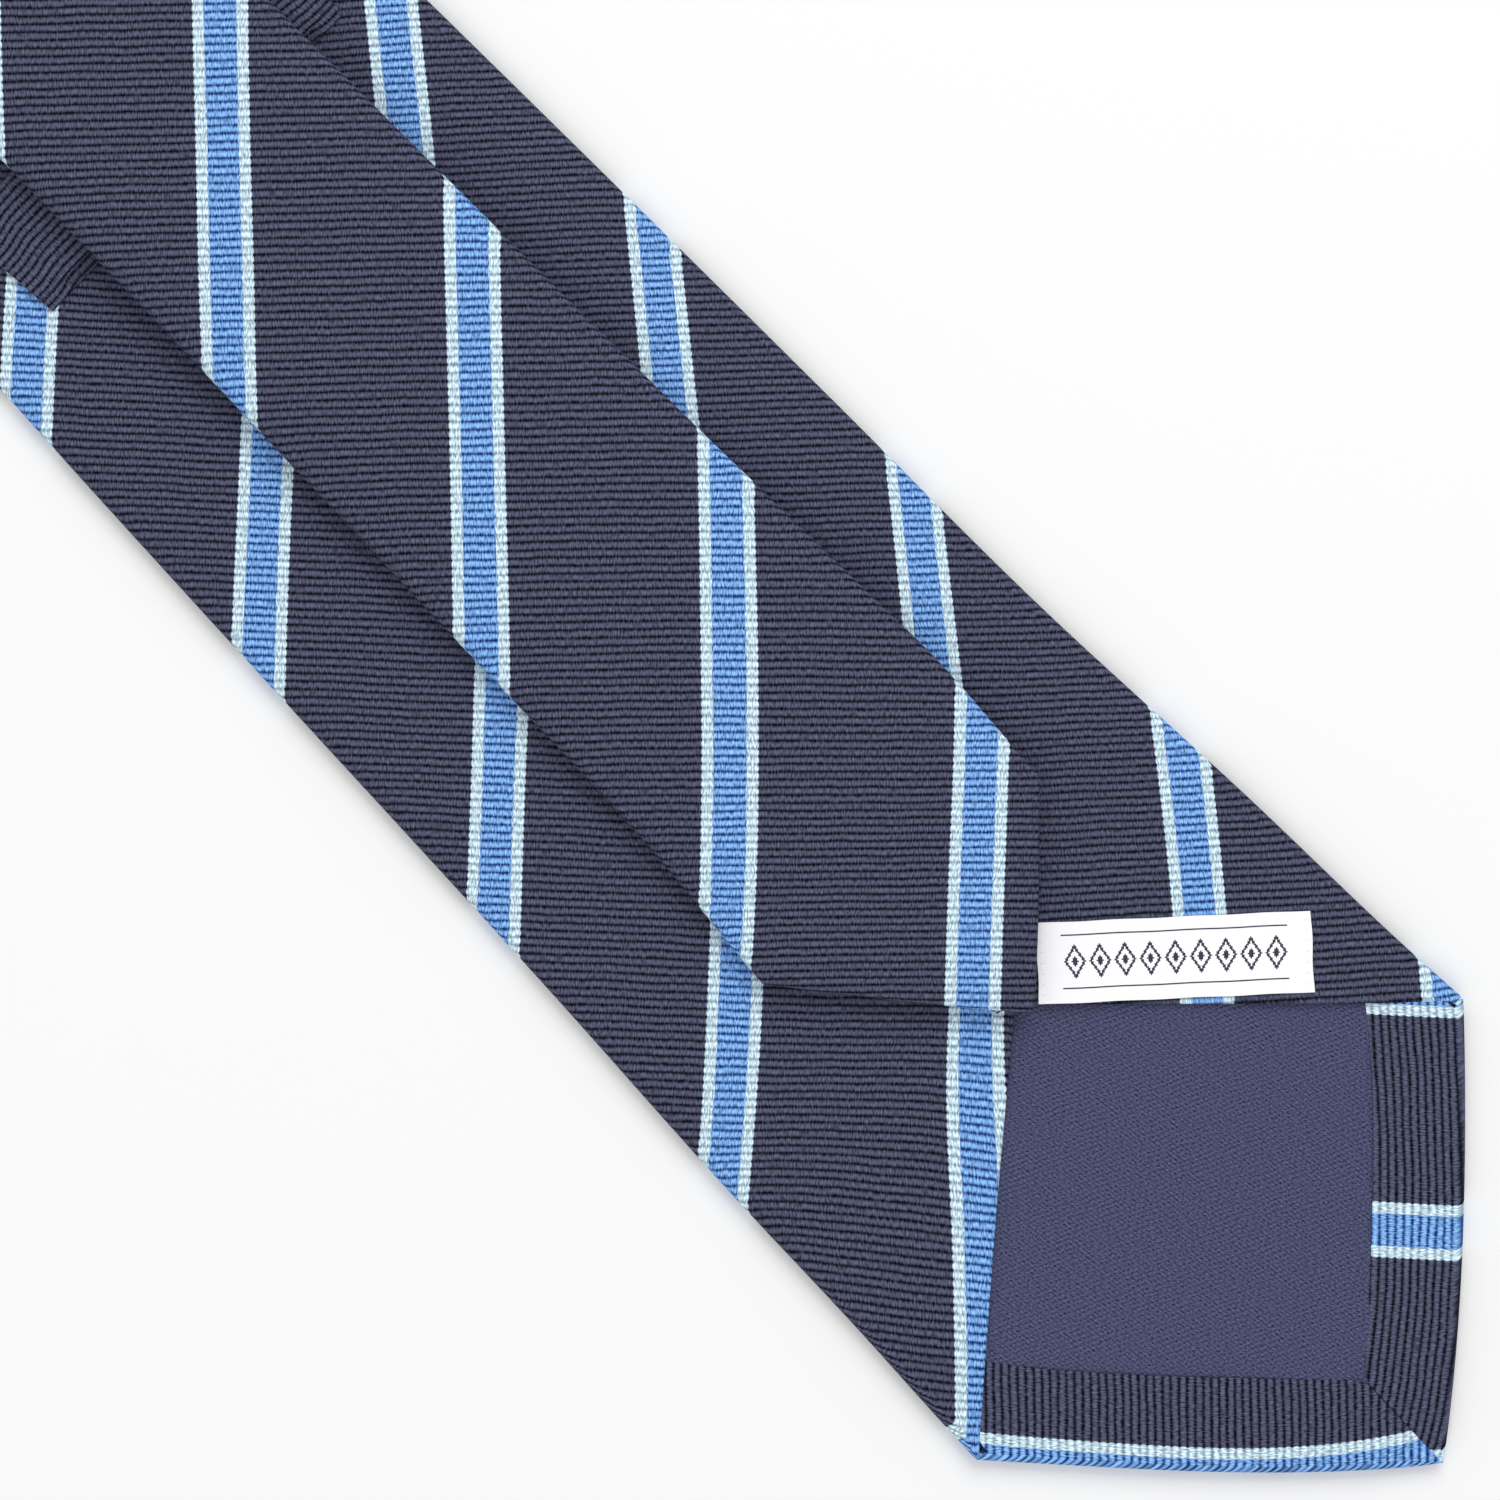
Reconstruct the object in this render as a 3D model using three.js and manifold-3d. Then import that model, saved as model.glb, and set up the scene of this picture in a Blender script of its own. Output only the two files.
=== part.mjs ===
// A classic necktie, folded in half at the neck and laid flat.
//
// The wide blade lies face down on the table with its sewn back upwards. The tail comes back over it
// from the neck fold, face up, and lies on the self-fabric keeper loop. Millimetres, +Z up, +X towards
// the wide tip, origin under the middle of the folded tie.
//
// The cloth is treated as one ribbon that runs from the wide tip, round the neck fold, to the tail tip.
// A depth through the ribbon is counted from its middle: positive towards the striped face, negative
// towards the sewn back. Each sub-part is a plan outline crossed with a band of such depths.

import * as THREE from 'three';
import { mergeVertices } from 'three/addons/utils/BufferGeometryUtils.js';
import Module from 'manifold-3d';

const wasm = await Module();
wasm.setup();

// ---------------------------------------------------------------- driving dimensions

// Ribbon: lengths along the cloth, and its thickness when pressed.
const BLADE_RUN = 779;
const TAIL_SETBACK = 83;
const FOLD_RADIUS = 4.2;
const TIE_THICKNESS = 3.6;
const FOLD_RAMP = 60;

// Wide blade: full widths at distances behind the wide tip.
const BLADE_WIDTH = 89.8;
const BLADE_POINT = 44;
const BLADE_UPPER_WIDTH = 79;
const BLADE_UPPER_AT = 240;
const BLADE_WAIST_WIDTH = 57;
const BLADE_WAIST_AT = 450;
const BLADE_NARROW_AT = 620;

// Tail: full widths at distances behind the tail tip, and how far it lies off the blade's middle line.
const TAIL_WIDTH = 48;
const TAIL_POINT = 24.4;
const TAIL_UPPER_WIDTH = 43.5;
const TAIL_UPPER_AT = 173;
const TAIL_NARROW_AT = 430;
const TAIL_TIP_SIDESTEP = 1.8;
const TAIL_UPPER_SIDESTEP = 4;

// Neck band between the two piecing seams, measured from the neck fold.
const NECK_WIDTH = 36;
const NECK_TO_BLADE_SEAM = 120;
const NECK_TO_TAIL_SEAM = 200;
const SEAM_GAP = 0.9;
const SEAM_THREAD = 0.3;
const SEAM_DEPTH = 0.15;

// Layers.
const SILK = 0.5;
const LINING = 0.3;
const INTERLINING = 1.2;
const CLEARANCE = 0.3;

// Sewn back: slit between the flaps, open points, hems and linings.
const SLIT_WIDTH = 0.8;
const BLADE_OPENING = 84.7;
const TAIL_OPENING = 47;
const BLADE_HEM = 12;
const TAIL_HEM = 8;
const BLADE_TIPPING = 118;
const TAIL_TIPPING = 66;

// Stitches.
const STITCH_PITCH = 14;
const STITCH_SWING = 2.2;
const STITCH_WIDTH = 0.7;
const STITCH_DEPTH = 0.35;
const BAR_TACK_LENGTH = 7;
const BAR_TACK_WIDTH = 1.6;
const BAR_TACK_HEIGHT = 0.5;
const BAR_TACK_SETBACK = 1;

// Keeper loop on the blade's back, under the tail.
const KEEPER_AT = 252.5;
const KEEPER_SPAN = 58;
const KEEPER_BAND = 17;
const KEEPER_THICKNESS = 1.2;
const KEEPER_SLOT = 0.5;
const KEEPER_SEAT = 6;
const KEEPER_RAMP = 3;
const KEEPER_STITCH_WIDTH = 1;
const KEEPER_STITCH_HEIGHT = 0.25;

// Plain woven label on the left flap.
const LABEL_LENGTH = 37.5;
const LABEL_WIDTH = 11;
const LABEL_THICKNESS = 0.4;
const LABEL_AT = 74.5;
const LABEL_SIDE = 21.8;
const LABEL_TURN = THREE.MathUtils.degToRad(47.7);
const LABEL_STITCH_INSET = 1.6;
const LABEL_STITCH_WIDTH = 0.5;
const LABEL_STITCH_HEIGHT = 0.3;

// Where the tail's free end bends when it is lifted, behind the tail tip.
const TAIL_LIFT_AT = 260;

// Steps used on round stretches.
const EDGE_STEPS = 26;
const ARC_STEPS = 12;
const RAMP_STEPS = 8;

// ---------------------------------------------------------------- places worked out from them

const HALF = TIE_THICKNESS / 2;
const WIDE_TIP_X = (BLADE_RUN + FOLD_RADIUS + HALF) / 2;
const TAIL_TIP_X = WIDE_TIP_X - TAIL_SETBACK;
const FOLD_X = WIDE_TIP_X - BLADE_RUN;
const TAIL_RUN = TAIL_TIP_X - FOLD_X;
const BLADE_Z = HALF;
const FOLD_Z = BLADE_Z + FOLD_RADIUS;
const KEEPER_Z = TIE_THICKNESS + CLEARANCE;
const TAIL_Z = KEEPER_Z + KEEPER_SLOT + KEEPER_THICKNESS + CLEARANCE + HALF;
const TAIL_LIFT_X = TAIL_TIP_X - TAIL_LIFT_AT;

// Depth bands, from the striped face to the sewn back.
const FACE = HALF;
const BACK = -HALF;
const POCKET_FACE = FACE - SILK;
const POCKET_BACK = BACK + SILK;
const WOOL_FACE = POCKET_FACE - CLEARANCE;
const WOOL_BACK = WOOL_FACE - INTERLINING;
const HEM_FACE = WOOL_BACK - CLEARANCE;
const HEM_BACK = HEM_FACE - SILK;
const TIPPING_FACE = HEM_FACE;
const TIPPING_BACK = TIPPING_FACE - LINING;

// Cutting shapes run this far past the cloth's surface, and this far past the tie's edges.
const PAST = 1;
const WIDE = 120;

// ---------------------------------------------------------------- solids

function toManifold(geometry) {
  const bare = geometry.index ? geometry.toNonIndexed() : geometry.clone();
  bare.deleteAttribute('normal');
  bare.deleteAttribute('uv');
  const merged = mergeVertices(bare, 1e-5);
  const mesh = new wasm.Mesh({
    numProp: 3,
    vertProperties: new Float32Array(merged.attributes.position.array),
    triVerts: new Uint32Array(merged.index.array),
  });
  return new wasm.Manifold(mesh);
}

function toGeometry(solid) {
  const mesh = solid.getMesh();
  const geometry = new THREE.BufferGeometry();
  geometry.setAttribute('position', new THREE.BufferAttribute(mesh.vertProperties, 3));
  geometry.setIndex(new THREE.BufferAttribute(mesh.triVerts, 1));
  geometry.computeVertexNormals();
  return geometry;
}

// A plan outline (x, y) raised between two heights.
function planPrism(points, low, high) {
  const shape = new THREE.Shape(points.map(([x, y]) => new THREE.Vector2(x, y)));
  const geometry = new THREE.ExtrudeGeometry(shape, { depth: high - low, bevelEnabled: false });
  geometry.translate(0, 0, low);
  return toManifold(geometry);
}

// A side outline (x, z) drawn out across the tie, between two values of y.
function sidePrism(points, left = WIDE, right = -WIDE) {
  const shape = new THREE.Shape(points.map(([x, z]) => new THREE.Vector2(x, z)));
  const geometry = new THREE.ExtrudeGeometry(shape, { depth: left - right, bevelEnabled: false });
  geometry.rotateX(Math.PI / 2);
  geometry.translate(0, left, 0);
  return toManifold(geometry);
}

// ---------------------------------------------------------------- the ribbon, seen from the side

// Points of the ribbon's middle line, each with the unit normal that points out of the striped face.
function foldArc(fromDegrees, toDegrees) {
  return Array.from({ length: ARC_STEPS + 1 }, (_, i) => {
    const turn = THREE.MathUtils.degToRad(fromDegrees + ((toDegrees - fromDegrees) * i) / ARC_STEPS);
    const nx = Math.cos(turn);
    const nz = Math.sin(turn);
    return { x: FOLD_X + FOLD_RADIUS * nx, z: FOLD_Z + FOLD_RADIUS * nz, nx, nz };
  });
}

function tailRamp() {
  const drop = FOLD_Z + FOLD_RADIUS - TAIL_Z;
  return Array.from({ length: RAMP_STEPS }, (_, i) => {
    const t = (i + 1) / RAMP_STEPS;
    const slope = (-drop * Math.PI * Math.sin(Math.PI * t)) / (2 * FOLD_RAMP);
    const length = Math.hypot(1, slope);
    return {
      x: FOLD_X + FOLD_RAMP * t,
      z: TAIL_Z + (drop * (1 + Math.cos(Math.PI * t))) / 2,
      nx: -slope / length,
      nz: 1 / length,
    };
  });
}

const MIDDLE_LINE = {
  blade: [{ x: WIDE_TIP_X + PAST, z: BLADE_Z, nx: 0, nz: -1 }, ...foldArc(270, 180)],
  fold: foldArc(270, 90),
  tail: [...foldArc(180, 90), ...tailRamp(), { x: TAIL_TIP_X + PAST, z: TAIL_Z, nx: 0, nz: 1 }],
};

// The band of cloth between two depths, across the whole width.
function depthBand(stretch, face, back) {
  const line = MIDDLE_LINE[stretch];
  const side = (depth) => line.map((p) => [p.x + depth * p.nx, p.z + depth * p.nz]);
  return sidePrism([...side(face), ...side(back).reverse()]);
}

// ---------------------------------------------------------------- the ribbon, seen from above

const BLADE = {
  tipX: WIDE_TIP_X,
  stations: [
    { at: BLADE_POINT, half: BLADE_WIDTH / 2, off: 0 },
    { at: BLADE_UPPER_AT, half: BLADE_UPPER_WIDTH / 2, off: 0 },
    { at: BLADE_WAIST_AT, half: BLADE_WAIST_WIDTH / 2, off: 0 },
    { at: BLADE_NARROW_AT, half: NECK_WIDTH / 2, off: 0 },
    { at: BLADE_RUN, half: NECK_WIDTH / 2, off: 0 },
  ],
};

const TAIL = {
  tipX: TAIL_TIP_X,
  stations: [
    { at: TAIL_POINT, half: TAIL_WIDTH / 2, off: TAIL_TIP_SIDESTEP },
    { at: TAIL_UPPER_AT, half: TAIL_UPPER_WIDTH / 2, off: TAIL_UPPER_SIDESTEP },
    { at: TAIL_NARROW_AT, half: NECK_WIDTH / 2, off: TAIL_UPPER_SIDESTEP / 2 },
    { at: TAIL_RUN, half: NECK_WIDTH / 2, off: 0 },
  ],
};

// Outlines run on straight past the neck fold, so that they cover the turn of the ribbon.
const FOLD_COVER = 2 * FOLD_RADIUS + TIE_THICKNESS;

// The pointed outline of one half of the tie, drawn in by an inset all round.
function pointedOutline(half, inset) {
  const shoulder = half.stations[0];
  const slant = Math.hypot(shoulder.at, shoulder.half);
  const tipSetback = (inset * slant) / shoulder.half;
  const shoulderSetback = tipSetback - (inset * shoulder.at) / shoulder.half;
  const edge = (side) => {
    const points = half.stations.map((station, i) => {
      const setback = i === 0 ? shoulderSetback : 0;
      const y = station.off + side * (station.half - inset);
      return new THREE.Vector2(half.tipX - station.at - setback, y);
    });
    const last = points.at(-1);
    const smooth = new THREE.SplineCurve(points).getPoints(EDGE_STEPS).map((p) => [p.x, p.y]);
    return [...smooth, [last.x - FOLD_COVER, last.y]];
  };
  const tip = [half.tipX - tipSetback, shoulder.off];
  return [tip, ...edge(1), ...edge(-1).reverse()];
}

// Everything behind the two slanted lines that run parallel to the point's edges, a band's width in.
function behindHem(half, band) {
  const shoulder = half.stations[0];
  const x = half.tipX - (band * Math.hypot(shoulder.at, shoulder.half)) / shoulder.half;
  const reach = half.stations[1].at;
  const spread = (reach * shoulder.half) / shoulder.at;
  const end = x - WIDE - half.stations.at(-1).at;
  return [
    [x, shoulder.off],
    [x - reach, shoulder.off + spread],
    [end, shoulder.off + spread],
    [end, shoulder.off - spread],
    [x - reach, shoulder.off - spread],
  ];
}

// The open point at the back, from where the flaps part to past the tip.
function openPoint(half, opening) {
  const shoulder = half.stations[0];
  const apexX = half.tipX - opening;
  const runOut = (half.tipX - shoulder.at - apexX) * (WIDE / shoulder.half);
  return [
    [apexX, shoulder.off],
    [apexX + runOut, shoulder.off + WIDE],
    [half.tipX + WIDE, shoulder.off + WIDE],
    [half.tipX + WIDE, shoulder.off - WIDE],
    [apexX + runOut, shoulder.off - WIDE],
  ];
}

// How far the middle line of one half lies to the side, at a distance behind its tip.
function sidestep(half, at) {
  const points = half.stations.map((station) => new THREE.Vector2(station.at, station.off));
  const curve = new THREE.SplineCurve(points).getPoints(EDGE_STEPS * 2);
  const next = curve.findIndex((p) => p.x >= at);
  if (next < 0) return curve.at(-1).y;
  if (next === 0) return curve[0].y;
  const [a, b] = [curve[next - 1], curve[next]];
  return THREE.MathUtils.mapLinear(at, a.x, b.x, a.y, b.y);
}

// ---------------------------------------------------------------- which stretch moves with which body

// The neck fold opens on two hinges, each at the middle of a quarter turn. Their place makes the middle
// line come out straight and at its true length when both have turned through a right angle.
const HINGE_OUT = (Math.PI / 4) * FOLD_RADIUS;
const GAP_SHIFT = CLEARANCE / 2 / Math.sin(THREE.MathUtils.degToRad(67.5));

// A point just inside a hinge's wedge, so that the two faces either side of it keep their clearance.
function hingePoint(side, bisectorDegrees) {
  const turn = THREE.MathUtils.degToRad(bisectorDegrees);
  const x = FOLD_X - HINGE_OUT + GAP_SHIFT * Math.cos(turn);
  const z = FOLD_Z + side * HINGE_OUT + GAP_SHIFT * Math.sin(turn);
  return [x, z];
}

// The ribbon's flat part and the quarter turn next to it, below (-1) or above (1) the neck fold.
function flatSideRegion(side) {
  const [x, z] = hingePoint(side, side * 22.5);
  const far = 2 * BLADE_RUN;
  return sidePrism(
    side < 0
      ? [[x, z], [x, z - WIDE], [x + far, z - WIDE], [x + far, z + WIDE], [x + WIDE, z + WIDE]]
      : [[x, z], [x + WIDE, z - WIDE], [x + far, z - WIDE], [x + far, z + WIDE], [x, z + WIDE]],
  );
}

// The middle of the neck fold, between the two hinges.
function foldRegion() {
  const low = hingePoint(-1, 112.5);
  const high = hingePoint(1, -112.5);
  const inner = low[0] + (FOLD_Z - low[1]);
  return sidePrism([low, [inner, FOLD_Z], high, [high[0] - WIDE, high[1]], [low[0] - WIDE, low[1]]]);
}

const box = (x0, x1, z0, z1) => sidePrism([[x0, z0], [x1, z0], [x1, z1], [x0, z1]]);
const REGION = {
  blade: flatSideRegion(-1),
  fold: foldRegion(),
  tail: flatSideRegion(1).intersect(box(-WIDE_TIP_X - WIDE, TAIL_LIFT_X - CLEARANCE / 2, -WIDE, WIDE)),
  tailEnd: box(TAIL_LIFT_X + CLEARANCE / 2, WIDE_TIP_X + WIDE, -WIDE, WIDE),
};

// The slanted strip between two panels, at a distance from the neck fold.
function seamStrip(fromFold, width) {
  const x = FOLD_X + fromFold;
  const reach = WIDE / 2;
  const along = width * Math.SQRT1_2;
  const near = [[x - reach - along, -reach], [x - reach + along, -reach]];
  const far = [[x + reach + along, reach], [x + reach - along, reach]];
  return planPrism([...near, ...far], -WIDE, WIDE);
}

// Everything on one side of a seam: towards the tip (1) or towards the neck fold (-1).
function beyondSeam(fromFold, sign) {
  const x = FOLD_X + fromFold + sign * SEAM_GAP * Math.SQRT1_2;
  const reach = WIDE / 2;
  const end = x + sign * 2 * BLADE_RUN;
  const points = [[x - reach, -reach], [end, -reach], [end, reach], [x + reach, reach]];
  return planPrism(sign > 0 ? points : points.reverse(), -WIDE, WIDE);
}

// ---------------------------------------------------------------- cloth solids

// One layer of a stretch: a plan outline crossed with a band of depths.
function layer(stretch, outline, face, back) {
  return planPrism(outline, -WIDE, WIDE).intersect(depthBand(stretch, face, back));
}

// The silk envelope of one half, open along its slit and at its point.
function envelope(stretch, half, opening, hem) {
  const outside = layer(stretch, pointedOutline(half, 0), FACE, BACK);
  const underHems = layer(stretch, pointedOutline(half, SILK), POCKET_FACE, HEM_FACE);
  const overHems = layer(stretch, pointedOutline(half, SILK), HEM_FACE + CLEARANCE, POCKET_BACK);
  const pocket = underHems.add(overHems.intersect(planPrism(behindHem(half, hem), -WIDE, WIDE)));
  const openBack = layer(stretch, openPoint(half, opening), HEM_BACK, BACK - PAST);
  return outside.subtract(pocket).subtract(openBack).subtract(slit(stretch, half));
}

// The slit that the slip stitch closes, from the open point to the neck fold.
function slit(stretch, half) {
  const last = half.stations.at(-1).at + FOLD_COVER;
  const first = half.stations[0].at;
  const steps = Array.from({ length: EDGE_STEPS + 1 }, (_, i) => first + ((last - first) * i) / EDGE_STEPS);
  const edge = (shift) => steps.map((at) => [half.tipX - at, sidestep(half, at) + shift]);
  const left = edge(SLIT_WIDTH / 2);
  const right = edge(-SLIT_WIDTH / 2);
  return layer(stretch, [...left, ...right.reverse()], 0, BACK - PAST);
}

// A straight strip along the middle of the tie, past the neck fold at one end.
function straightStrip(width) {
  const y = width / 2;
  return [[FOLD_X - WIDE, -y], [WIDE_TIP_X, -y], [WIDE_TIP_X, y], [FOLD_X - WIDE, y]];
}

function foldShell() {
  const outside = layer('fold', straightStrip(NECK_WIDTH), FACE, BACK);
  const pocket = layer('fold', straightStrip(NECK_WIDTH - 2 * SILK), POCKET_FACE, POCKET_BACK);
  const slot = layer('fold', straightStrip(SLIT_WIDTH), 0, BACK - PAST);
  return outside.subtract(pocket).subtract(slot).intersect(REGION.fold);
}

function wool(stretch, outline, region) {
  return layer(stretch, outline, WOOL_FACE, WOOL_BACK).intersect(region);
}

function tipping(stretch, half, hem, length) {
  const cover = layer(stretch, pointedOutline(half, SILK + CLEARANCE), TIPPING_FACE, TIPPING_BACK);
  const pastEnd = box(half.tipX - length, half.tipX + WIDE, -WIDE, WIDE);
  return cover.intersect(planPrism(behindHem(half, hem + CLEARANCE), -WIDE, WIDE)).intersect(pastEnd);
}

// ---------------------------------------------------------------- threads

// The slip stitch: a flat zigzag thread just under the two flaps.
function slipStitch(half, fromAt, toAt, middleZ, backUp) {
  const turns = Math.max(2, Math.round((toAt - fromAt) / (STITCH_PITCH / 2)));
  const side = (shift) =>
    Array.from({ length: turns + 1 }, (_, i) => {
      const at = fromAt + ((toAt - fromAt) * i) / turns;
      const swing = (i % 2 ? 1 : -1) * STITCH_SWING;
      return [half.tipX - at, sidestep(half, at) + swing + shift];
    });
  const outline = [...side(STITCH_WIDTH / 2), ...side(-STITCH_WIDTH / 2).reverse()];
  const top = POCKET_BACK + CLEARANCE;
  const low = backUp ? middleZ - top - STITCH_DEPTH : middleZ + top;
  return planPrism(outline, low, low + STITCH_DEPTH);
}

// A piecing seam's thread, just under the striped face, in the gap between two panels.
function seamThread(stretch, fromFold) {
  const face = FACE - SEAM_DEPTH;
  const across = layer(stretch, straightStrip(NECK_WIDTH - 2 * SILK), face, face - SEAM_THREAD);
  return across.intersect(seamStrip(fromFold, SEAM_THREAD));
}

function barTack(tipX, off, opening, low) {
  const x = tipX - opening - BAR_TACK_WIDTH / 2 - BAR_TACK_SETBACK;
  const geometry = new THREE.BoxGeometry(BAR_TACK_WIDTH, BAR_TACK_LENGTH, BAR_TACK_HEIGHT);
  geometry.translate(x, off, low + BAR_TACK_HEIGHT / 2);
  return toManifold(geometry);
}

// ---------------------------------------------------------------- keeper loop and label

const KEEPER_X = WIDE_TIP_X - KEEPER_AT;

// The band lies flat where it is sewn at both ends and stands clear of the back between them.
function keeperLoop() {
  const end = KEEPER_SPAN / 2;
  const seat = end - KEEPER_SEAT;
  const span = seat - KEEPER_RAMP;
  const raised = KEEPER_Z + KEEPER_SLOT;
  const leftUnder = [[span, raised], [seat, KEEPER_Z], [end, KEEPER_Z]];
  const rightUnder = leftUnder.map(([y, z]) => [-y, z]).reverse();
  const under = [...rightUnder, ...leftUnder];
  const over = under.map(([y, z]) => [y, z + KEEPER_THICKNESS]).reverse();
  const shape = new THREE.Shape([...under, ...over].map(([y, z]) => new THREE.Vector2(y, z)));
  const geometry = new THREE.ExtrudeGeometry(shape, { depth: KEEPER_BAND, bevelEnabled: false });
  geometry.rotateX(Math.PI / 2);
  geometry.rotateZ(Math.PI / 2);
  geometry.translate(KEEPER_X - KEEPER_BAND / 2, 0, 0);
  return toManifold(geometry);
}

function keeperStitch(side) {
  const length = KEEPER_BAND - 2 * KEEPER_STITCH_WIDTH;
  const geometry = new THREE.BoxGeometry(length, KEEPER_STITCH_WIDTH, KEEPER_STITCH_HEIGHT);
  const y = side * (KEEPER_SPAN / 2 - 1.5 * KEEPER_STITCH_WIDTH);
  const z = KEEPER_Z + KEEPER_THICKNESS + CLEARANCE + KEEPER_STITCH_HEIGHT / 2;
  geometry.translate(KEEPER_X, y, z);
  return toManifold(geometry);
}

// ---------------------------------------------------------------- the assembly

const COLOURS = {
  silk: { color: 0x343a55, roughness: 0.62 },
  tipping: { color: 0x3c3f63, roughness: 0.5 },
  wool: { color: 0xd8d2c4, roughness: 0.95 },
  thread: { color: 0x24283c, roughness: 0.8 },
  label: { color: 0xefedf2, roughness: 0.7 },
};

const group = new THREE.Group();

function add(name, finish, geometry, parent = group) {
  const material = new THREE.MeshStandardMaterial({ ...COLOURS[finish], metalness: 0 });
  const mesh = new THREE.Mesh(geometry, material);
  mesh.name = name;
  parent.add(mesh);
  return mesh;
}

function addWideBlade() {
  const silk = envelope('blade', BLADE, BLADE_OPENING, BLADE_HEM).intersect(REGION.blade);
  add('blade_shell', 'silk', toGeometry(silk.intersect(beyondSeam(NECK_TO_BLADE_SEAM, 1))));
  add('neck_shell_blade_side', 'silk', toGeometry(silk.intersect(beyondSeam(NECK_TO_BLADE_SEAM, -1))));
  add('blade_seam_thread', 'thread', toGeometry(seamThread('blade', NECK_TO_BLADE_SEAM)));
  const inner = pointedOutline(BLADE, SILK + CLEARANCE);
  add('interlining_blade', 'wool', toGeometry(wool('blade', inner, REGION.blade)));
  add('blade_tipping', 'tipping', toGeometry(tipping('blade', BLADE, BLADE_HEM, BLADE_TIPPING)));
  const stitchFrom = BLADE_TIPPING + STITCH_PITCH / 2;
  add('blade_slip_stitch', 'thread', toGeometry(slipStitch(BLADE, stitchFrom, BLADE_RUN, BLADE_Z, true)));
  add('blade_bar_tack', 'thread', toGeometry(barTack(WIDE_TIP_X, 0, BLADE_OPENING, KEEPER_Z)));
}

function addKeeper() {
  add('keeper_loop', 'silk', toGeometry(keeperLoop()));
  add('keeper_stitch_left', 'thread', toGeometry(keeperStitch(1)));
  add('keeper_stitch_right', 'thread', toGeometry(keeperStitch(-1)));
}

function addLabel() {
  const place = new THREE.Group();
  place.position.set(WIDE_TIP_X - LABEL_AT, LABEL_SIDE, TIE_THICKNESS + CLEARANCE);
  place.rotation.z = LABEL_TURN;
  group.add(place);
  const cloth = new THREE.BoxGeometry(LABEL_LENGTH, LABEL_WIDTH, LABEL_THICKNESS);
  add('name_label', 'label', cloth, place).position.z = LABEL_THICKNESS / 2;
  const length = LABEL_WIDTH - 2 * LABEL_STITCH_INSET;
  for (const [name, side] of [['label_stitch_left', -1], ['label_stitch_right', 1]]) {
    const row = new THREE.BoxGeometry(LABEL_STITCH_WIDTH, length, LABEL_STITCH_HEIGHT);
    const z = LABEL_THICKNESS + CLEARANCE + LABEL_STITCH_HEIGHT / 2;
    add(name, 'thread', row, place).position.set(side * (LABEL_LENGTH / 2 - LABEL_STITCH_INSET), 0, z);
  }
}

function addNeckFold() {
  add('neck_shell_fold', 'silk', toGeometry(foldShell()));
  const inner = straightStrip(NECK_WIDTH - 2 * (SILK + CLEARANCE));
  add('interlining_fold', 'wool', toGeometry(wool('fold', inner, REGION.fold)));
}

function addTail() {
  const silk = envelope('tail', TAIL, TAIL_OPENING, TAIL_HEM);
  const rear = silk.intersect(REGION.tail);
  add('neck_shell_tail_side', 'silk', toGeometry(rear.intersect(beyondSeam(NECK_TO_TAIL_SEAM, -1))));
  add('tail_shell_rear', 'silk', toGeometry(rear.intersect(beyondSeam(NECK_TO_TAIL_SEAM, 1))));
  add('tail_shell_front', 'silk', toGeometry(silk.intersect(REGION.tailEnd)));
  add('tail_seam_thread', 'thread', toGeometry(seamThread('tail', NECK_TO_TAIL_SEAM)));
  const inner = pointedOutline(TAIL, SILK + CLEARANCE);
  add('interlining_tail', 'wool', toGeometry(wool('tail', inner, REGION.tail)));
  add('interlining_tail_end', 'wool', toGeometry(wool('tail', inner, REGION.tailEnd)));
  add('tail_tipping', 'tipping', toGeometry(tipping('tail', TAIL, TAIL_HEM, TAIL_TIPPING)));
  const liftFront = TAIL_LIFT_AT - CLEARANCE;
  const liftRear = TAIL_LIFT_AT + CLEARANCE;
  const stitchFrom = TAIL_TIPPING + STITCH_PITCH / 2;
  const stitchTo = TAIL_RUN - FOLD_RAMP - CLEARANCE;
  add('tail_end_slip_stitch', 'thread', toGeometry(slipStitch(TAIL, stitchFrom, liftFront, TAIL_Z, false)));
  add('tail_slip_stitch', 'thread', toGeometry(slipStitch(TAIL, liftRear, stitchTo, TAIL_Z, false)));
  const tackZ = TAIL_Z - HALF - CLEARANCE - BAR_TACK_HEIGHT;
  add('tail_bar_tack', 'thread', toGeometry(barTack(TAIL_TIP_X, TAIL_TIP_SIDESTEP, TAIL_OPENING, tackZ)));
}

addWideBlade();
addKeeper();
addLabel();
addNeckFold();
addTail();

export default group;
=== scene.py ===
# %% [markdown]
# # A striped silk necktie, folded once and laid on its face
# A necktie is one long strip of silk cut on the bias in three panels, wrapped round a wool
# interlining and closed at the back by hand. It has no thickness of its own to model as a block: all
# that shows is a sheet of cloth half a millimetre thick and where that sheet has been folded. So each
# silk piece below is a sheet, and it is worked out the way a maker folds it: face, rolled side, flap.
# Everything is in metres, in the frame that the CAD part gives.

import math

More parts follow.
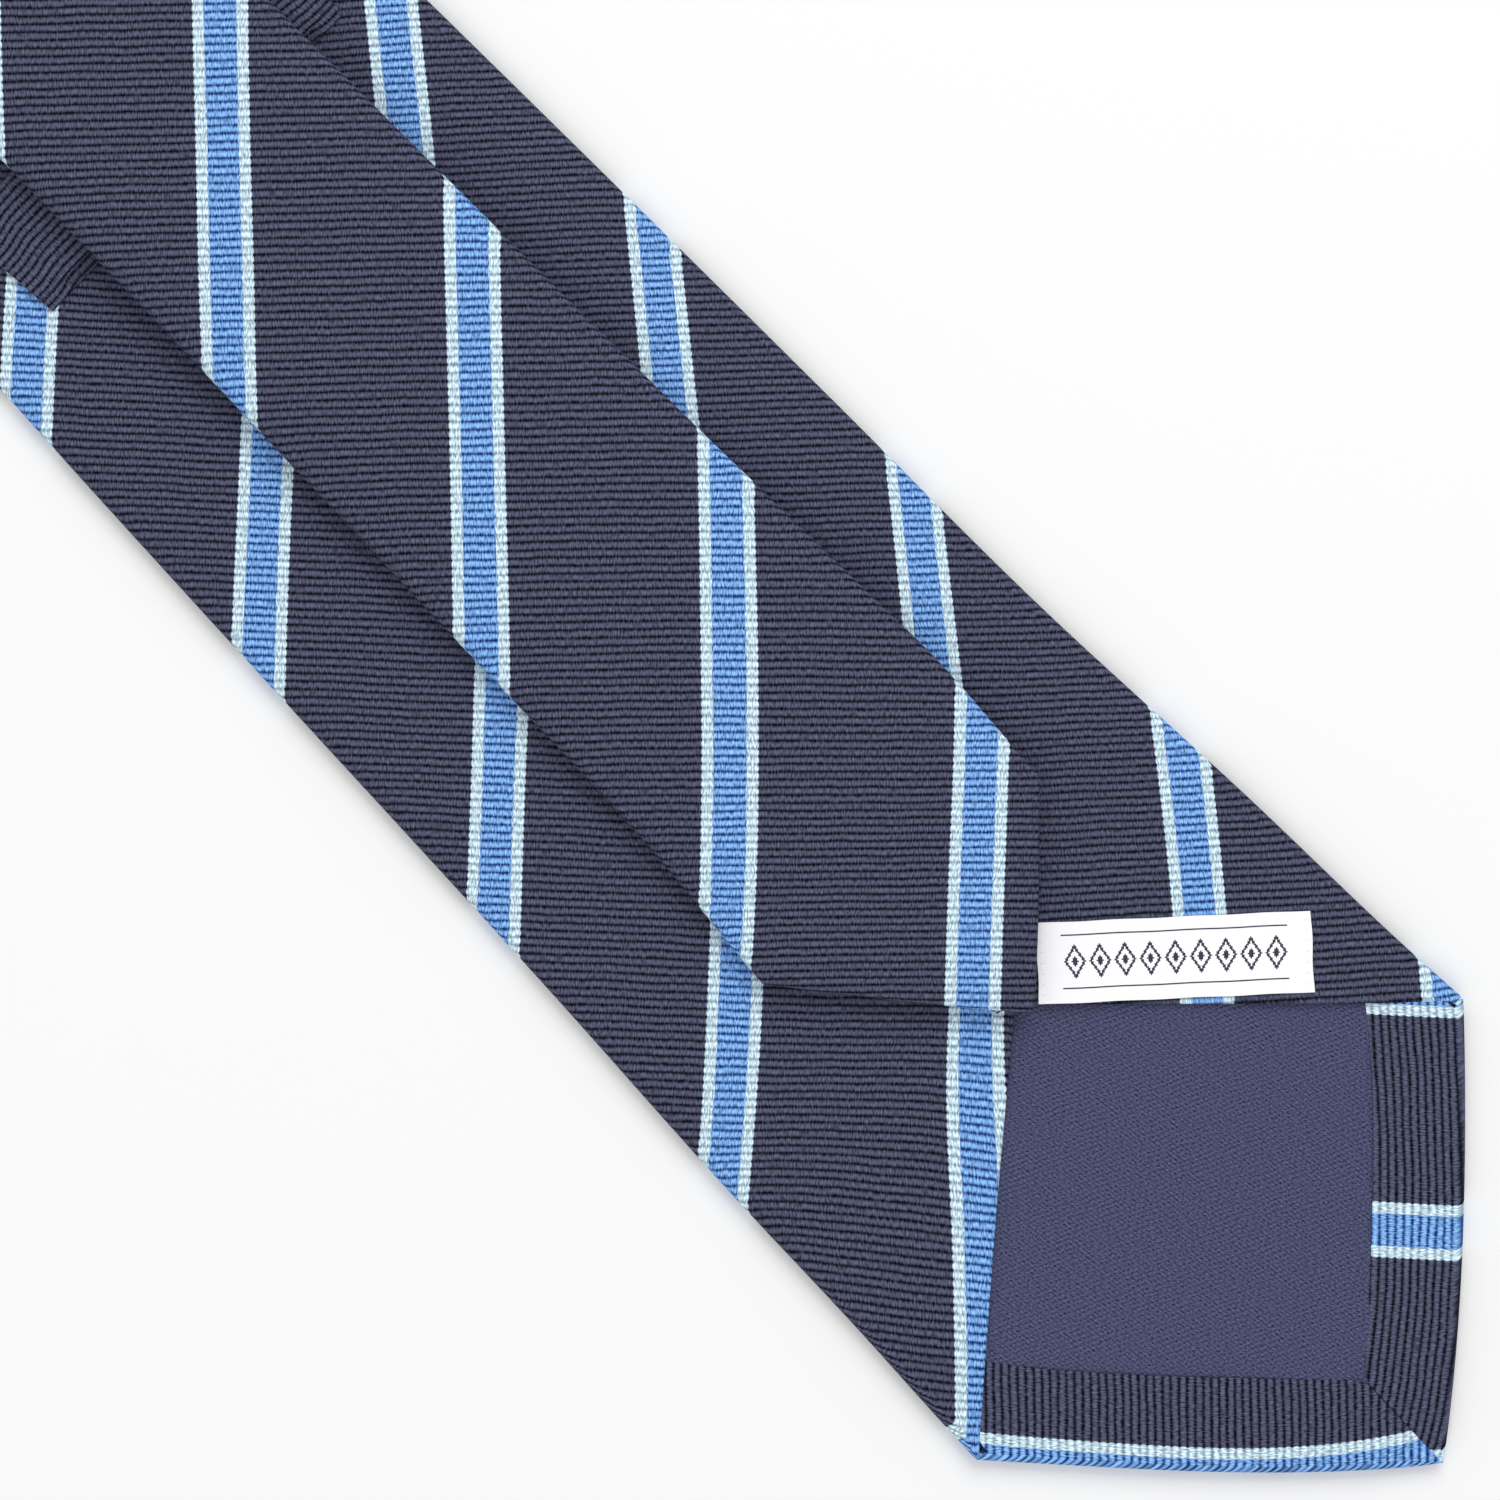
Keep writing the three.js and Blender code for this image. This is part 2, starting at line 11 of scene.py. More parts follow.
import bmesh
import bpy
import numpy as np
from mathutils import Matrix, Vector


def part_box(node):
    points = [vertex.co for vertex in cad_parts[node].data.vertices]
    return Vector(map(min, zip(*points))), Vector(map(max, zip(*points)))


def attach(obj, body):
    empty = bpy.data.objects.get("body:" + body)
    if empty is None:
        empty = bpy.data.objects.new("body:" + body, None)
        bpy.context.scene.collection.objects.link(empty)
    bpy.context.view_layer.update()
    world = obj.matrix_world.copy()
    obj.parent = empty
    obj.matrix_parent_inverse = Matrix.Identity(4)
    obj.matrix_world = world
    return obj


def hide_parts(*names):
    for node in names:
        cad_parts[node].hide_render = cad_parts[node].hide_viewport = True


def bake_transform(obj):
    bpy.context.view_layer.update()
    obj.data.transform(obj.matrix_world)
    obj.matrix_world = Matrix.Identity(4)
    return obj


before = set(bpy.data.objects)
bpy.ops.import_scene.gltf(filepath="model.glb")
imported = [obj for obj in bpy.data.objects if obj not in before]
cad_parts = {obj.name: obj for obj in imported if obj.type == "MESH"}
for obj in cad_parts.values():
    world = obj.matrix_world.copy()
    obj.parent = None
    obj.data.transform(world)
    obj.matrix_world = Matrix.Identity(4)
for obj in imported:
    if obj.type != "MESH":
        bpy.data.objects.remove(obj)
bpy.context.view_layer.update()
MM = 0.001

# %% [markdown]
# ## The line that the tie follows
# The sizes come from the CAD nodes' own boxes. The tie runs from the wide tip to the fold, round a half
# circle, and back over itself to the narrow tip. A place on it is given by three numbers: how far along
# (from the wide tip), how far across, and how high above the middle of its own thickness. Height is
# counted towards the flaps, so the face is always below zero, whichever way up the tie lies.

# %% Places along the tie
blade_low, blade_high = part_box("blade_shell")
fold_low, fold_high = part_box("neck_shell_fold")
tail_low, tail_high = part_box("tail_shell_front")
keeper_low, keeper_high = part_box("keeper_loop")

WIDE_TIP = blade_high.x
TAIL_TIP = tail_high.x
THICK = blade_high.z - blade_low.z
MIDDLE = (blade_low.z + blade_high.z) / 2
BEND_HEIGHT = (fold_low.z + fold_high.z) / 2
BEND = BEND_HEIGHT - MIDDLE
FOLD = fold_low.x + BEND + THICK / 2
TAIL_MIDDLE = (tail_low.z + tail_high.z) / 2
RAMP = 60 * MM
SETTLE = 1.3 * MM
SETTLE_AFTER_KEEPER = 10 * MM
SETTLE_RUN = 70 * MM

BLADE_RUN = WIDE_TIP - FOLD
FAR_POINT = BLADE_RUN + BEND * math.pi / 2
UPPER_START = BLADE_RUN + BEND * math.pi
TIE_LENGTH = UPPER_START + TAIL_TIP - FOLD
print("blade run", round(BLADE_RUN, 4), "fold", round(FOLD, 4), "whole length", round(TIE_LENGTH, 4))


def ease(t):
    """0 before 0, 1 after 1, and smooth between."""
    t = np.clip(t, 0, 1)
    return t * t * (3 - 2 * t)


def line_of_the_tie(along):
    """Where the middle of the tie is, and which way its flap side looks, as (x, z) pairs."""
    turn = np.clip((along - BLADE_RUN) / BEND, 0, math.pi)
    upper = np.maximum(along - UPPER_START, 0)
    x = np.where(along < BLADE_RUN, WIDE_TIP - along, FOLD - BEND * np.sin(turn) + upper)
    lie = TAIL_MIDDLE + (BEND_HEIGHT + BEND - TAIL_MIDDLE) * (1 - ease(upper / RAMP))
    lie = lie - SETTLE * ease((x - keeper_high.x - SETTLE_AFTER_KEEPER) / SETTLE_RUN)
    z = np.where(along < UPPER_START, BEND_HEIGHT - BEND * np.cos(turn), lie)
    return x, z, np.sin(turn), np.cos(turn)


def softness(along, cloth):
    """How far handling has lifted the cloth here: long, low swells, in millimetres, that never repeat."""
    a = along / MM
    c = cloth / MM
    swell = 0.17 * np.sin(a / 29 + 1.3) * np.cos(c / 17 + a / 90)
    swell = swell + 0.10 * np.sin(a / 11.3 + c / 15) + 0.07 * np.sin(c / 7.1 - a / 23)
    return swell * MM


# %% [markdown]
# ## How wide it is
# The wide end narrows slowly, then faster, down to a plain neck. A curve through a few widths is enough,
# as on a maker's card pattern. The narrow end is not laid quite straight over the wide one, so it has a
# side step as well.

# %% Widths and side step
def flow(stations, at):
    """A smooth curve through a few (place, value) stations."""
    place, value = np.array(stations, float).T * MM
    slope = np.gradient(value, place)
    slope[-1] = 0
    at = np.clip(at, place[0], place[-1])
    i = np.clip(np.searchsorted(place, at) - 1, 0, len(place) - 2)
    gap = place[i + 1] - place[i]
    t = (at - place[i]) / gap
    return (
        value[i] * (1 + 2 * t) * (1 - t) ** 2
        + slope[i] * gap * t * (1 - t) ** 2
        + value[i + 1] * t * t * (3 - 2 * t)
        - slope[i + 1] * gap * t * t * (1 - t)
    )


NECK_HALF = 18
BLADE_HALVES = [(44, 44.9), (140, 42.6), (240, 39.5), (345, 34.5), (450, 28.5), (540, 22.4)]
BLADE_HALVES += [(620, NECK_HALF), (700, NECK_HALF)]
TAIL_HALVES = [(24.4, 24), (100, 22.9), (173, 21.75), (300, 19.5), (430, NECK_HALF), (500, NECK_HALF)]
TAIL_STEPS = [(0, 1.8), (90, 3.4), (173, 4), (300, 3), (430, 2), (696, 0)]


def half_width(along):
    """Half the pressed width, the same on both sides."""
    return np.where(along < FAR_POINT, flow(BLADE_HALVES, along), flow(TAIL_HALVES, TIE_LENGTH - along))


def side_step(along):
    """How far the narrow end's line lies beside the wide end's."""
    return np.where(along < FAR_POINT, 0, flow(TAIL_STEPS, TIE_LENGTH - along))


for title, at in (("widest", 44 * MM), ("neck", 700 * MM)):
    print(title, round(2 * float(half_width(np.array(at))), 4))

# %% [markdown]
# ## Wear of the sides
# Hanging and pressing pull a side in here and let it out there, so a tie's two sides are never quite
# alike. Each side has its own few stations: how far behind the tip, and how far outwards it has moved.
# The middle of the cloth stays where it is, and the move grows towards the side.

# %% Worn sides
WIDE_END_WEAR = {
    1: [
        (0, 0), (40, -0.3), (53, -0.9), (83, -1.3), (122, -2.4),
        (160, -2.0), (218, -1.4), (300, -0.4), (380, 0),
    ],
    -1: [(0, 0), (30, 0.3), (44, 0.6), (70, 0.4), (92, 0.6), (130, 0.1), (200, 0)],
}
NARROW_END_WEAR = {
    1: [(0, 0), (25, 0), (41, 0.6), (60, -0.4), (88, -2.1), (135, -3.0), (160, -3.1), (220, -2.4), (320, 0)],
    -1: [(0, 0), (28, 0), (52, -1.5), (90, -1.2), (140, -0.8), (200, 0), (300, 0)],
}


def worn(along, across):
    """The side place after wear."""
    near_side = np.clip(abs(across) / half_width(along), 0, 1) ** 2
    wide_end = along < FAR_POINT
    behind = np.where(wide_end, along, TIE_LENGTH - along)
    outwards = {}
    for side in (1, -1):
        wide_wear = flow(WIDE_END_WEAR[side], behind)
        narrow_wear = flow(NARROW_END_WEAR[side], behind)
        outwards[side] = np.where(wide_end, wide_wear, narrow_wear)
    return across + near_side * np.where(across > 0, outwards[1], -outwards[-1])


most = max(abs(moved) for side in (1, -1) for _, moved in WIDE_END_WEAR[side] + NARROW_END_WEAR[side])
print("the sides have moved by up to", most, "mm")

# %% [markdown]
# ## The seams between the panels
# A tie is cut in three panels because silk on the bias doesn't come long enough for one. The panels are
# joined along the straight grain, so a seam crosses the tie at 45 degrees on the face and comes back
# mirrored on the flaps. Near a seam the rows of the mesh are slanted little by little until one row
# lies exactly on it. Then the two panels meet edge to edge, with no cutting.

# %% Seam places
seam_low, seam_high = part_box("blade_seam_thread")
BLADE_SEAM = WIDE_TIP - (seam_low.x + seam_high.x) / 2
seam_low, seam_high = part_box("tail_seam_thread")
TAIL_SEAM = UPPER_START + (seam_low.x + seam_high.x) / 2 - FOLD
SLANT_FADE = 80 * MM
STITCH_PULL = 0.9 * MM
SEAM_SINK = 0.15


def slant(along):
    """How far a row leans along the seam nearby: 1 or -1 on the seam itself."""
    near_blade = 1 - ease(abs(along - BLADE_SEAM) / SLANT_FADE)
    near_tail = 1 - ease(abs(along - TAIL_SEAM) / SLANT_FADE)
    return near_tail - near_blade


def seam_dip(along):
    """The cloth sinks a little into the stitching, so its height shrinks right beside a seam."""
    near = sum(np.exp(-(((along - seam) / STITCH_PULL) ** 2)) for seam in (BLADE_SEAM, TAIL_SEAM))
    return 1 - SEAM_SINK * near


print("seams at", round(BLADE_SEAM, 4), round(TAIL_SEAM, 4))

# %% [markdown]
# ## Cloth coordinates
# The stripes and ribs were woven before the silk was cut, so they must follow the flat cloth and not the
# folded shape. Every point of a sheet therefore carries where it was on the flat cloth, in metres, as
# its UV. Rolled sides then carry the pattern round them without stretching it.

# %% Sheet maker
def place(along, across, height, cloth):
    """Points on the tie in the frame, and where each row has slanted to.

    The four arrays have one shape. cloth is the signed distance from the middle over the flat cloth.
    """
    height = height * seam_dip(along)
    along = along + slant(along) * cloth
    x, z, look_x, look_z = line_of_the_tie(along)
    lift = softness(along, cloth) * np.where((height > 0) | (along > FAR_POINT), height / (THICK / 2), 0)
    height = height + lift
    return np.stack([x + height * look_x, worn(along, across), z + height * look_z], -1), along


WELD = 0.02 * MM


def sheet_mesh(name, grids, thickness):
    """One sheet from grids of (points, flat places). Grids that share an edge are welded together."""
    mesh = bmesh.new()
    layer = mesh.loops.layers.uv.new("cloth")
    for points, flat in grids:
        rows, columns = points.shape[:2]
        verts = [[mesh.verts.new(points[r, c]) for c in range(columns)] for r in range(rows)]
        for r in range(rows - 1):
            for c in range(columns - 1):
                corners = [(r, c), (r, c + 1), (r + 1, c + 1), (r + 1, c)]
                face = mesh.faces.new([verts[i][j] for i, j in corners])
                for loop, (i, j) in zip(face.loops, corners):
                    loop[layer].uv = flat[i, j]
    bmesh.ops.remove_doubles(mesh, verts=mesh.verts, dist=WELD)
    bmesh.ops.dissolve_degenerate(mesh, edges=mesh.edges, dist=WELD / 4)
    sum(face.calc_area() for face in mesh.faces)
    data = bpy.data.meshes.new(name)
    mesh.to_mesh(data)
    mesh.free()
    piece = bpy.data.objects.new(name, data)
    bpy.context.collection.objects.link(piece)
    thicken(piece, thickness)
    return piece


def alone(piece):
    """Select this piece and nothing else."""
    if bpy.context.object and bpy.context.object.mode != "OBJECT":
        bpy.ops.object.mode_set(mode="OBJECT")
    bpy.ops.object.select_all(action="DESELECT")
    piece.select_set(True)
    bpy.context.view_layer.objects.active = piece


def thicken(piece, thickness):
    """Give the single surface its real thickness, half to each side."""
    alone(piece)
    bpy.ops.object.modifier_add(type="SOLIDIFY")
    wall = piece.modifiers[-1]
    wall.thickness = thickness
    wall.offset = 0
    bpy.ops.object.modifier_apply(modifier=wall.name)
    bpy.ops.object.shade_smooth_by_angle(angle=math.radians(50))


# %% [markdown]
# ## One half of the folded silk
# Seen from the end, the silk is a flat loop: the face, a soft roll at the side, the flap coming back to
# the middle, and a narrow turning under the flap so that no raw edge shows. Writing one half of that
# loop and using it for both sides keeps the two sides alike where they should be. Each part of the loop
# has a fixed number of columns, so neighbouring rows always match.

# %% The folded half
SILK = 0.42 * MM
LAYER = THICK / 2 - SILK / 2 - 0.03 * MM
ROLL = 1.7 * MM
EDGE_TURN = 0.34 * MM
UNDER = 5 * MM
SLIT = 0.4 * MM
FACE_REACH = 8 * MM
FLAP_REACH = 11 * MM
FACE_COLUMNS, ROLL_COLUMNS, FLAP_COLUMNS, TURN_COLUMNS = 20, 9, 20, 8
ROLL_ANGLES = np.linspace(-math.pi / 2, math.pi / 2, ROLL_COLUMNS + 2)[1:-1]


def pillow(across, wide, depth, reach):
    """How much the cloth falls away towards the side, where the wool inside ends."""
    return depth * np.clip((across - wide + reach) / reach, 0, 1) ** 2


def fall_at(turned):
    """How far the face and the flaps fall away at the sides, from face down (0) to face up (1).

    The side that lies downwards stays flatter.
    """
    return (0.35 + 0.70 * turned) * MM, (0.85 - 0.55 * turned) * MM


def folded_half(wide, edge, flap_height, falls, rise=1):
    """(across, height, cloth) from the middle of the face out to the side and back to the flap's free edge.

    Where the flap has just begun it has little room, so the roll and the turning shrink with it.
    """
    face_fall, flap_fall = falls
    room = max(wide - edge, WELD)
    roll = min(ROLL, 0.45 * room)
    turn = min(EDGE_TURN, 0.2 * room)
    start = wide - roll
    face = np.linspace(0, start, FACE_COLUMNS)
    face_z = -LAYER + pillow(face, wide, face_fall, FACE_REACH)
    flap = np.linspace(start, edge + turn, FLAP_COLUMNS)
    flap_z = flap_height - pillow(flap, wide, flap_fall * rise, FLAP_REACH)
    low, high = face_z[-1], flap_z[0]
    side = start + roll * np.cos(ROLL_ANGLES)
    side_z = low + (high - low) * (1 + np.sin(ROLL_ANGLES)) / 2
    arc = math.pi * math.sqrt((roll**2 + ((high - low) / 2) ** 2) / 2)
    side_cloth = start + arc * (ROLL_ANGLES / math.pi + 0.5)
    flap_cloth = start + arc + start - flap
    spin = np.linspace(0, math.pi, TURN_COLUMNS - 3)[1:]
    under = min(UNDER, 0.7 * room)
    back = edge + turn + under * np.array([0.15, 0.4, 0.7, 1])
    turned = np.concatenate([edge + turn - turn * np.sin(spin), back])
    turned_z = np.concatenate([flap_z[-1] - turn + turn * np.cos(spin), np.full(4, flap_z[-1] - 2 * turn)])
    turned_cloth = flap_cloth[-1] + np.concatenate([turn * spin, math.pi * turn + back - edge - turn])
    return (
        np.concatenate([face, side, flap, turned]),
        np.concatenate([face_z, side_z, flap_z, turned_z]),
        np.concatenate([face, side_cloth, flap_cloth, turned_cloth]),
    )


across, height, cloth = folded_half(40 * MM, SLIT, LAYER, fall_at(0))
print("a half loop of", len(across), "columns takes", round(cloth[-1] / MM, 1), "mm of silk")

# %% [markdown]
# ## The pointed ends
# At a pointed end the silk is first hemmed: a band is turned back along both slanting edges, and the two
# bands meet in a mitre on the middle line. Only then are the sides folded in. So the same hem shows
# along the tip and goes on under the flap, and the flaps' own ends leave a V open, where the lining
# shows. Each end needs only its shoulders, the top of its V and its hem width.

# %% The two ends as facts
ROLL_ALLOWANCE = 1.3 * MM
HEM_SPREAD = 0.17
FLAP_SAG = 0.7 * MM
FLAP_LOOSE = 0.9 * MM
LOOSE_FADE = 8 * MM
SHOULDER_FADE = 90 * MM
SLIT_FADE = 150 * MM


class End:
    """A pointed end of the tie.

    Distances are behind its own tip, and side places are from the middle of the tie's line.
    """

    def __init__(self, reverse, tip_y, shoulders, opening, hem, bow):
        self.reverse = reverse
        self.tip_y = tip_y * MM
        self.shoulders = {side: (d * MM, y * MM) for side, (d, y) in shoulders.items()}
        self.opening = (opening[0] * MM, opening[1] * MM)
        self.hem = hem * MM
        self.bow = {side: amount * MM for side, amount in bow.items()}

    def along(self, behind):
        return TIE_LENGTH - behind if self.reverse else behind

    def behind(self, along):
        return TIE_LENGTH - along if self.reverse else along

    def middle(self, behind):
        """The y of a row's middle: the tip's own at the tip, and the tie's line from the shoulders on."""
        reach = self.shoulders[1][0]
        line = side_step(self.along(behind))
        return line + (self.tip_y - line) * (1 - ease(behind / reach))

    def half(self, behind, side):
        """Half width on that side, counted from the row's middle."""
        d, y = self.shoulders[side]
        middle = self.middle(behind)
        if behind < d:
            edge = self.tip_y + (y - self.tip_y) * behind / d
            edge += side * self.bulge(behind / d, side)
            return side * (edge - middle)
        line = side_step(self.along(behind))
        wide = half_width(self.along(behind))
        at_shoulder = side * (y - side_step(self.along(d))) - half_width(self.along(d))
        return side * (line - middle) + wide + at_shoulder * (1 - ease((behind - d) / SHOULDER_FADE))

    def bulge(self, t, side):
        """How far the tip's edge bows out from the tip (0) to the shoulder (1). It is fuller near the tip."""
        return self.bow[side] * np.sin(math.pi * np.clip(t, 0, 1) ** 0.75)

    def slope(self, side):
        """How steeply the tip's edge runs out."""
        d, y = self.shoulders[side]
        return (y - self.tip_y) / d

    def hem_inner(self, behind, side):
        """The hem's inner edge, from the row's middle: the tip's edge moved in by the hem's width."""
        slope = self.slope(side)
        run = math.hypot(1, slope)
        t = (behind - self.hem * abs(slope) / run) / self.shoulders[side][0]
        width = self.hem * (1 + HEM_SPREAD * min(max(t, 0), 1.15) ** 4)
        edge = self.tip_y + slope * (behind - width * run / abs(slope))
        return max(side * (edge - self.middle(behind)), 0.12 * MM)

    def flap_edge(self, behind, side):
        """The flap's free edge: along the V, then along the slit at the middle of the back."""
        d, y = self.shoulders[side]
        top, top_y = self.opening
        loose = min(side, 0) * FLAP_LOOSE if not self.reverse else 0
        slit_y = side_step(self.along(behind)) + top_y * (1 - ease((behind - top) / SLIT_FADE))
        slit_y += loose * (1 - ease((behind - top) / LOOSE_FADE))
        if behind < top:
            t = (behind - d) / (top - d)
            slit_y = y + (top_y + loose - y) * t + min(side, 0) * FLAP_SAG * math.sin(math.pi * t)
        return side * (slit_y - self.middle(behind)) + (SLIT if behind >= top else 0)

    def unfolded(self, behind, across, side, outward=None):
        """Flat place of points on the hem or its roll.

        outward is how far past the tip's edge the cloth was before it was turned.
        """
        slope = self.slope(side)
        run = math.hypot(1, slope)
        line = np.array([1, slope]) / run
        normal = side * np.array([-slope, 1.0]) / run
        beside = self.middle(behind) + side * across - self.tip_y
        offset = np.stack([np.full(len(across), behind), beside], -1)
        down = offset @ line
        bowed = self.bulge(down / (self.shoulders[side][0] * run), side) / run
        if outward is None:
            outward = bowed - offset @ normal + ROLL_ALLOWANCE
        flat = down[:, None] * line + (bowed + outward)[:, None] * normal
        return flat + [0, self.tip_y]


BLADE_END = End(False, -0.95, {1: (43.0, 45.2), -1: (44.2, -45.2)}, (84.7, 1.2), 11, {1: 1.85, -1: 2.3})
TAIL_END = End(True, 1.8, {1: (22.0, 24.4), -1: (28.0, -21.4)}, (47, 2.0), 8, {1: 0.4, -1: 0.4})
print("hem bands", BLADE_END.hem, TAIL_END.hem)

# %% [markdown]
# ## Laying the rows of an end
# The rows are close together near the point and wider apart along the run. Each side of a row is the
# hemmed kind in front of its shoulder and the flapped kind behind it. At the shoulder row both kinds
# are made: the flap starts there with no width, and the hem runs on under it as a strip of its own.

# %% Rows of an end
HEM_COLUMNS = FLAP_COLUMNS + TURN_COLUMNS
HEM_HEIGHT = 0.72 * MM
HEM_PUFF = 0.10 * MM
HEM_EDGE_DIP = 0.12 * MM
TIP_DROP = 0.3 * MM
TIP_GAP = 0.25 * MM
FLAP_BED = HEM_HEIGHT + 0.12 * MM
FLAP_RISE = 16 * MM
SINK_RUN = 8 * MM
NEAR = 1e-9


def hem_row(end, behind, side, outer, height):
    """The hem's columns on a row, from its outer to its inner edge, and their place on the flat cloth."""
    inner = min(end.hem_inner(behind, side), outer - 0.05 * MM)
    across = np.linspace(outer, inner, HEM_COLUMNS)
    flat = end.unfolded(behind, across, side)
    heights = np.full(HEM_COLUMNS, height)
    heights[-1] -= HEM_EDGE_DIP
    heights[1:-1] += HEM_PUFF * np.sin(np.linspace(0, math.pi, HEM_COLUMNS - 2))
    return across, heights, flat


def hemmed_half(end, behind, side):
    """A row in front of the shoulder: face, rolled edge and hem. The two layers close up towards the tip."""
    wide = end.half(behind, side)
    grown = ease((behind + 0.4 * MM) / SINK_RUN)
    low = -TIP_DROP + (-LAYER + TIP_DROP) * grown
    high = low + TIP_GAP + (HEM_HEIGHT + LAYER - TIP_GAP) * grown
    roll = min(ROLL, 0.4 * wide)
    start = wide - roll
    face = np.linspace(0, start, FACE_COLUMNS)
    face_z = low + pillow(face, wide, fall_at(end.reverse)[0] * grown, FACE_REACH)
    side_across = start + roll * np.cos(ROLL_ANGLES)
    side_z = face_z[-1] + (high - face_z[-1]) * (1 + np.sin(ROLL_ANGLES)) / 2
    hem, hem_z, hem_flat = hem_row(end, behind, side, start, high)
    middle = end.middle(behind)
    face_flat = np.stack([np.full(FACE_COLUMNS, behind), middle + side * face], -1)
    t = ROLL_ANGLES / math.pi + 0.5
    inside = roll / math.hypot(1, end.slope(side))
    side_flat = end.unfolded(behind, side_across, side, (2 * inside + ROLL_ALLOWANCE) * t - inside)
    return (
        np.concatenate([face, side_across, hem]),
        np.concatenate([face_z, side_z, hem_z]),
        np.concatenate([face_flat, side_flat, hem_flat]),
    )


def flapped_half(end, behind, side):
    """A row behind the shoulder: face, rolled side, flap and turning. The first flap has no width."""
    d = end.shoulders[side][0]
    wide = end.half(behind, side)
    if behind <= d + NEAR:
        across, heights, flat = hemmed_half(end, behind, side)
        last = FACE_COLUMNS + ROLL_COLUMNS
        for values in (across, heights, flat):
            values[last:] = values[last - 1]
        return across, heights, flat
    rise = ease((behind - d) / FLAP_RISE)
    flap_height = FLAP_BED + (LAYER - FLAP_BED) * rise
    edge = end.flap_edge(behind, side)
    across, heights, cloth = folded_half(wide, edge, flap_height, fall_at(end.reverse), rise)
    step = 1 * MM
    narrowing = (end.half(behind, side) - end.half(behind + step, side)) / step
    inside = np.clip(cloth - wide, 0, None)
    middle = end.middle(behind)
    flat = np.stack([behind + 2 * narrowing * inside, middle + side * cloth], -1)
    return across, heights, flat


def hem_strip_half(end, behind, side):
    """The hem where it runs on under the flap."""
    d = end.shoulders[side][0]
    wide = end.half(behind, side)
    sunk = ease((behind - d) / SINK_RUN)
    across, heights, flat = hem_row(end, behind, side, wide - ROLL - 1.5 * MM * sunk, HEM_HEIGHT)
    return across, heights - 0.3 * MM * sunk, flat


SPACING = 4 * MM
FINE_SPACING = 1.6 * MM
BESIDE_SEAM = np.array([0, 0.5, 1.2, 2.4]) * MM
CLOSEST = 0.35 * MM
STRIP_RUN = 1.5


def rows_behind(end, last, fine):
    """Distances behind the tip, fine ones first, with both shoulders and the V's top among them."""
    marks = [0, end.opening[0]]
    for d, _ in end.shoulders.values():
        marks += [d, d + end.hem * STRIP_RUN]
    marks += list(np.arange(0, fine, FINE_SPACING))
    marks += list(np.arange(fine, last - SPACING / 2, SPACING))
    marks += list(last - BESIDE_SEAM)
    marks = np.unique(np.round(marks, 7))
    wanted = [last, *[d for d, _ in end.shoulders.values()]]
    rows = [marks[0]]
    for mark in marks[1:]:
        if mark - rows[-1] > CLOSEST or min(abs(mark - value) for value in wanted) < 1e-7:
            rows.append(mark)
    return rows


def end_grids(end, rows, weave):
    """An end's silk, for both sides: hemmed rows, flapped rows, and the hem's strip under the flap."""
    grids = []
    for side in (1, -1):
        d = end.shoulders[side][0]
        hemmed = [r for r in rows if r <= d + NEAR]
        flapped = [r for r in rows if r >= d - NEAR]
        strip = [r for r in flapped if r <= d + end.hem * STRIP_RUN + NEAR]
        for kind, chosen in ((hemmed_half, hemmed), (flapped_half, flapped), (hem_strip_half, strip)):
            points, flats = [], []
            for behind in chosen:
                if kind is hem_strip_half and behind <= d + NEAR:
                    across, heights, flat = (part[-HEM_COLUMNS:] for part in hemmed_half(end, behind, side))
                else:
                    across, heights, flat = kind(end, behind, side)
                middle = end.middle(behind)
                cloth_side = flat[:, 1] - middle
                along = np.full(len(across), end.along(behind))
                spot, _ = place(along, middle + side * across, heights, cloth_side)
                points.append(spot[::side])
                is_hem = kind is not flapped_half
                flats.append(weave(end, flat, side, along, cloth_side, is_hem)[::side])
            grids.append((np.array(points), np.array(flats)))
    return grids


# %% [markdown]
# ## Where the weave falls
# The stripes were matched by eye when the tie was cut and pressed, and pressing moves cloth on the bias
# by a millimetre or two. A hem creeps towards its fold, and the narrow end is pulled a little towards
# its tip. These small shifts are what makes the stripes break slightly from layer to layer.

# %% Small shifts of the weave
HEM_CREEP = {1: 2.3 * MM, -1: 4.3 * MM}
FLAP_CREEP = [(40, 4.4), (51, 4.0), (67, 1.9), (85, -0.7), (105, 0)]
TAIL_SHIFT = 4.1 * MM
TAIL_EASE, TAIL_EASE_AT, TAIL_EASE_RUN = 1.6 * MM, -130 * MM, 40 * MM
TAIL_SKEW, TAIL_UNSKEW, TAIL_SKEW_AT, TAIL_SKEW_RUN = 0.015, 0.09, -190 * MM, 100 * MM
NECK_SHIFT = 13 * MM


def past_side(count):
    """From 0 on the face to 1 on the flap or the hem, for each column of a row of so many columns."""
    face = np.zeros(FACE_COLUMNS)
    return np.concatenate([face, np.linspace(0, 1, ROLL_COLUMNS), np.ones(HEM_COLUMNS)])[-count:]


def blade_weave(end, flat, side, along, cloth_side, is_hem):
    """Flat cloth of the wide end: u counts away from the tip, so it is below zero all along."""
    u = -(flat[:, 0] + slant(along) * cloth_side)
    if is_hem:
        u = u - HEM_CREEP[side] * past_side(len(u))
    elif side < 0:
        u = u - flow(FLAP_CREEP, end.behind(along)) * past_side(len(u))
    return np.stack([u, flat[:, 1]], -1)


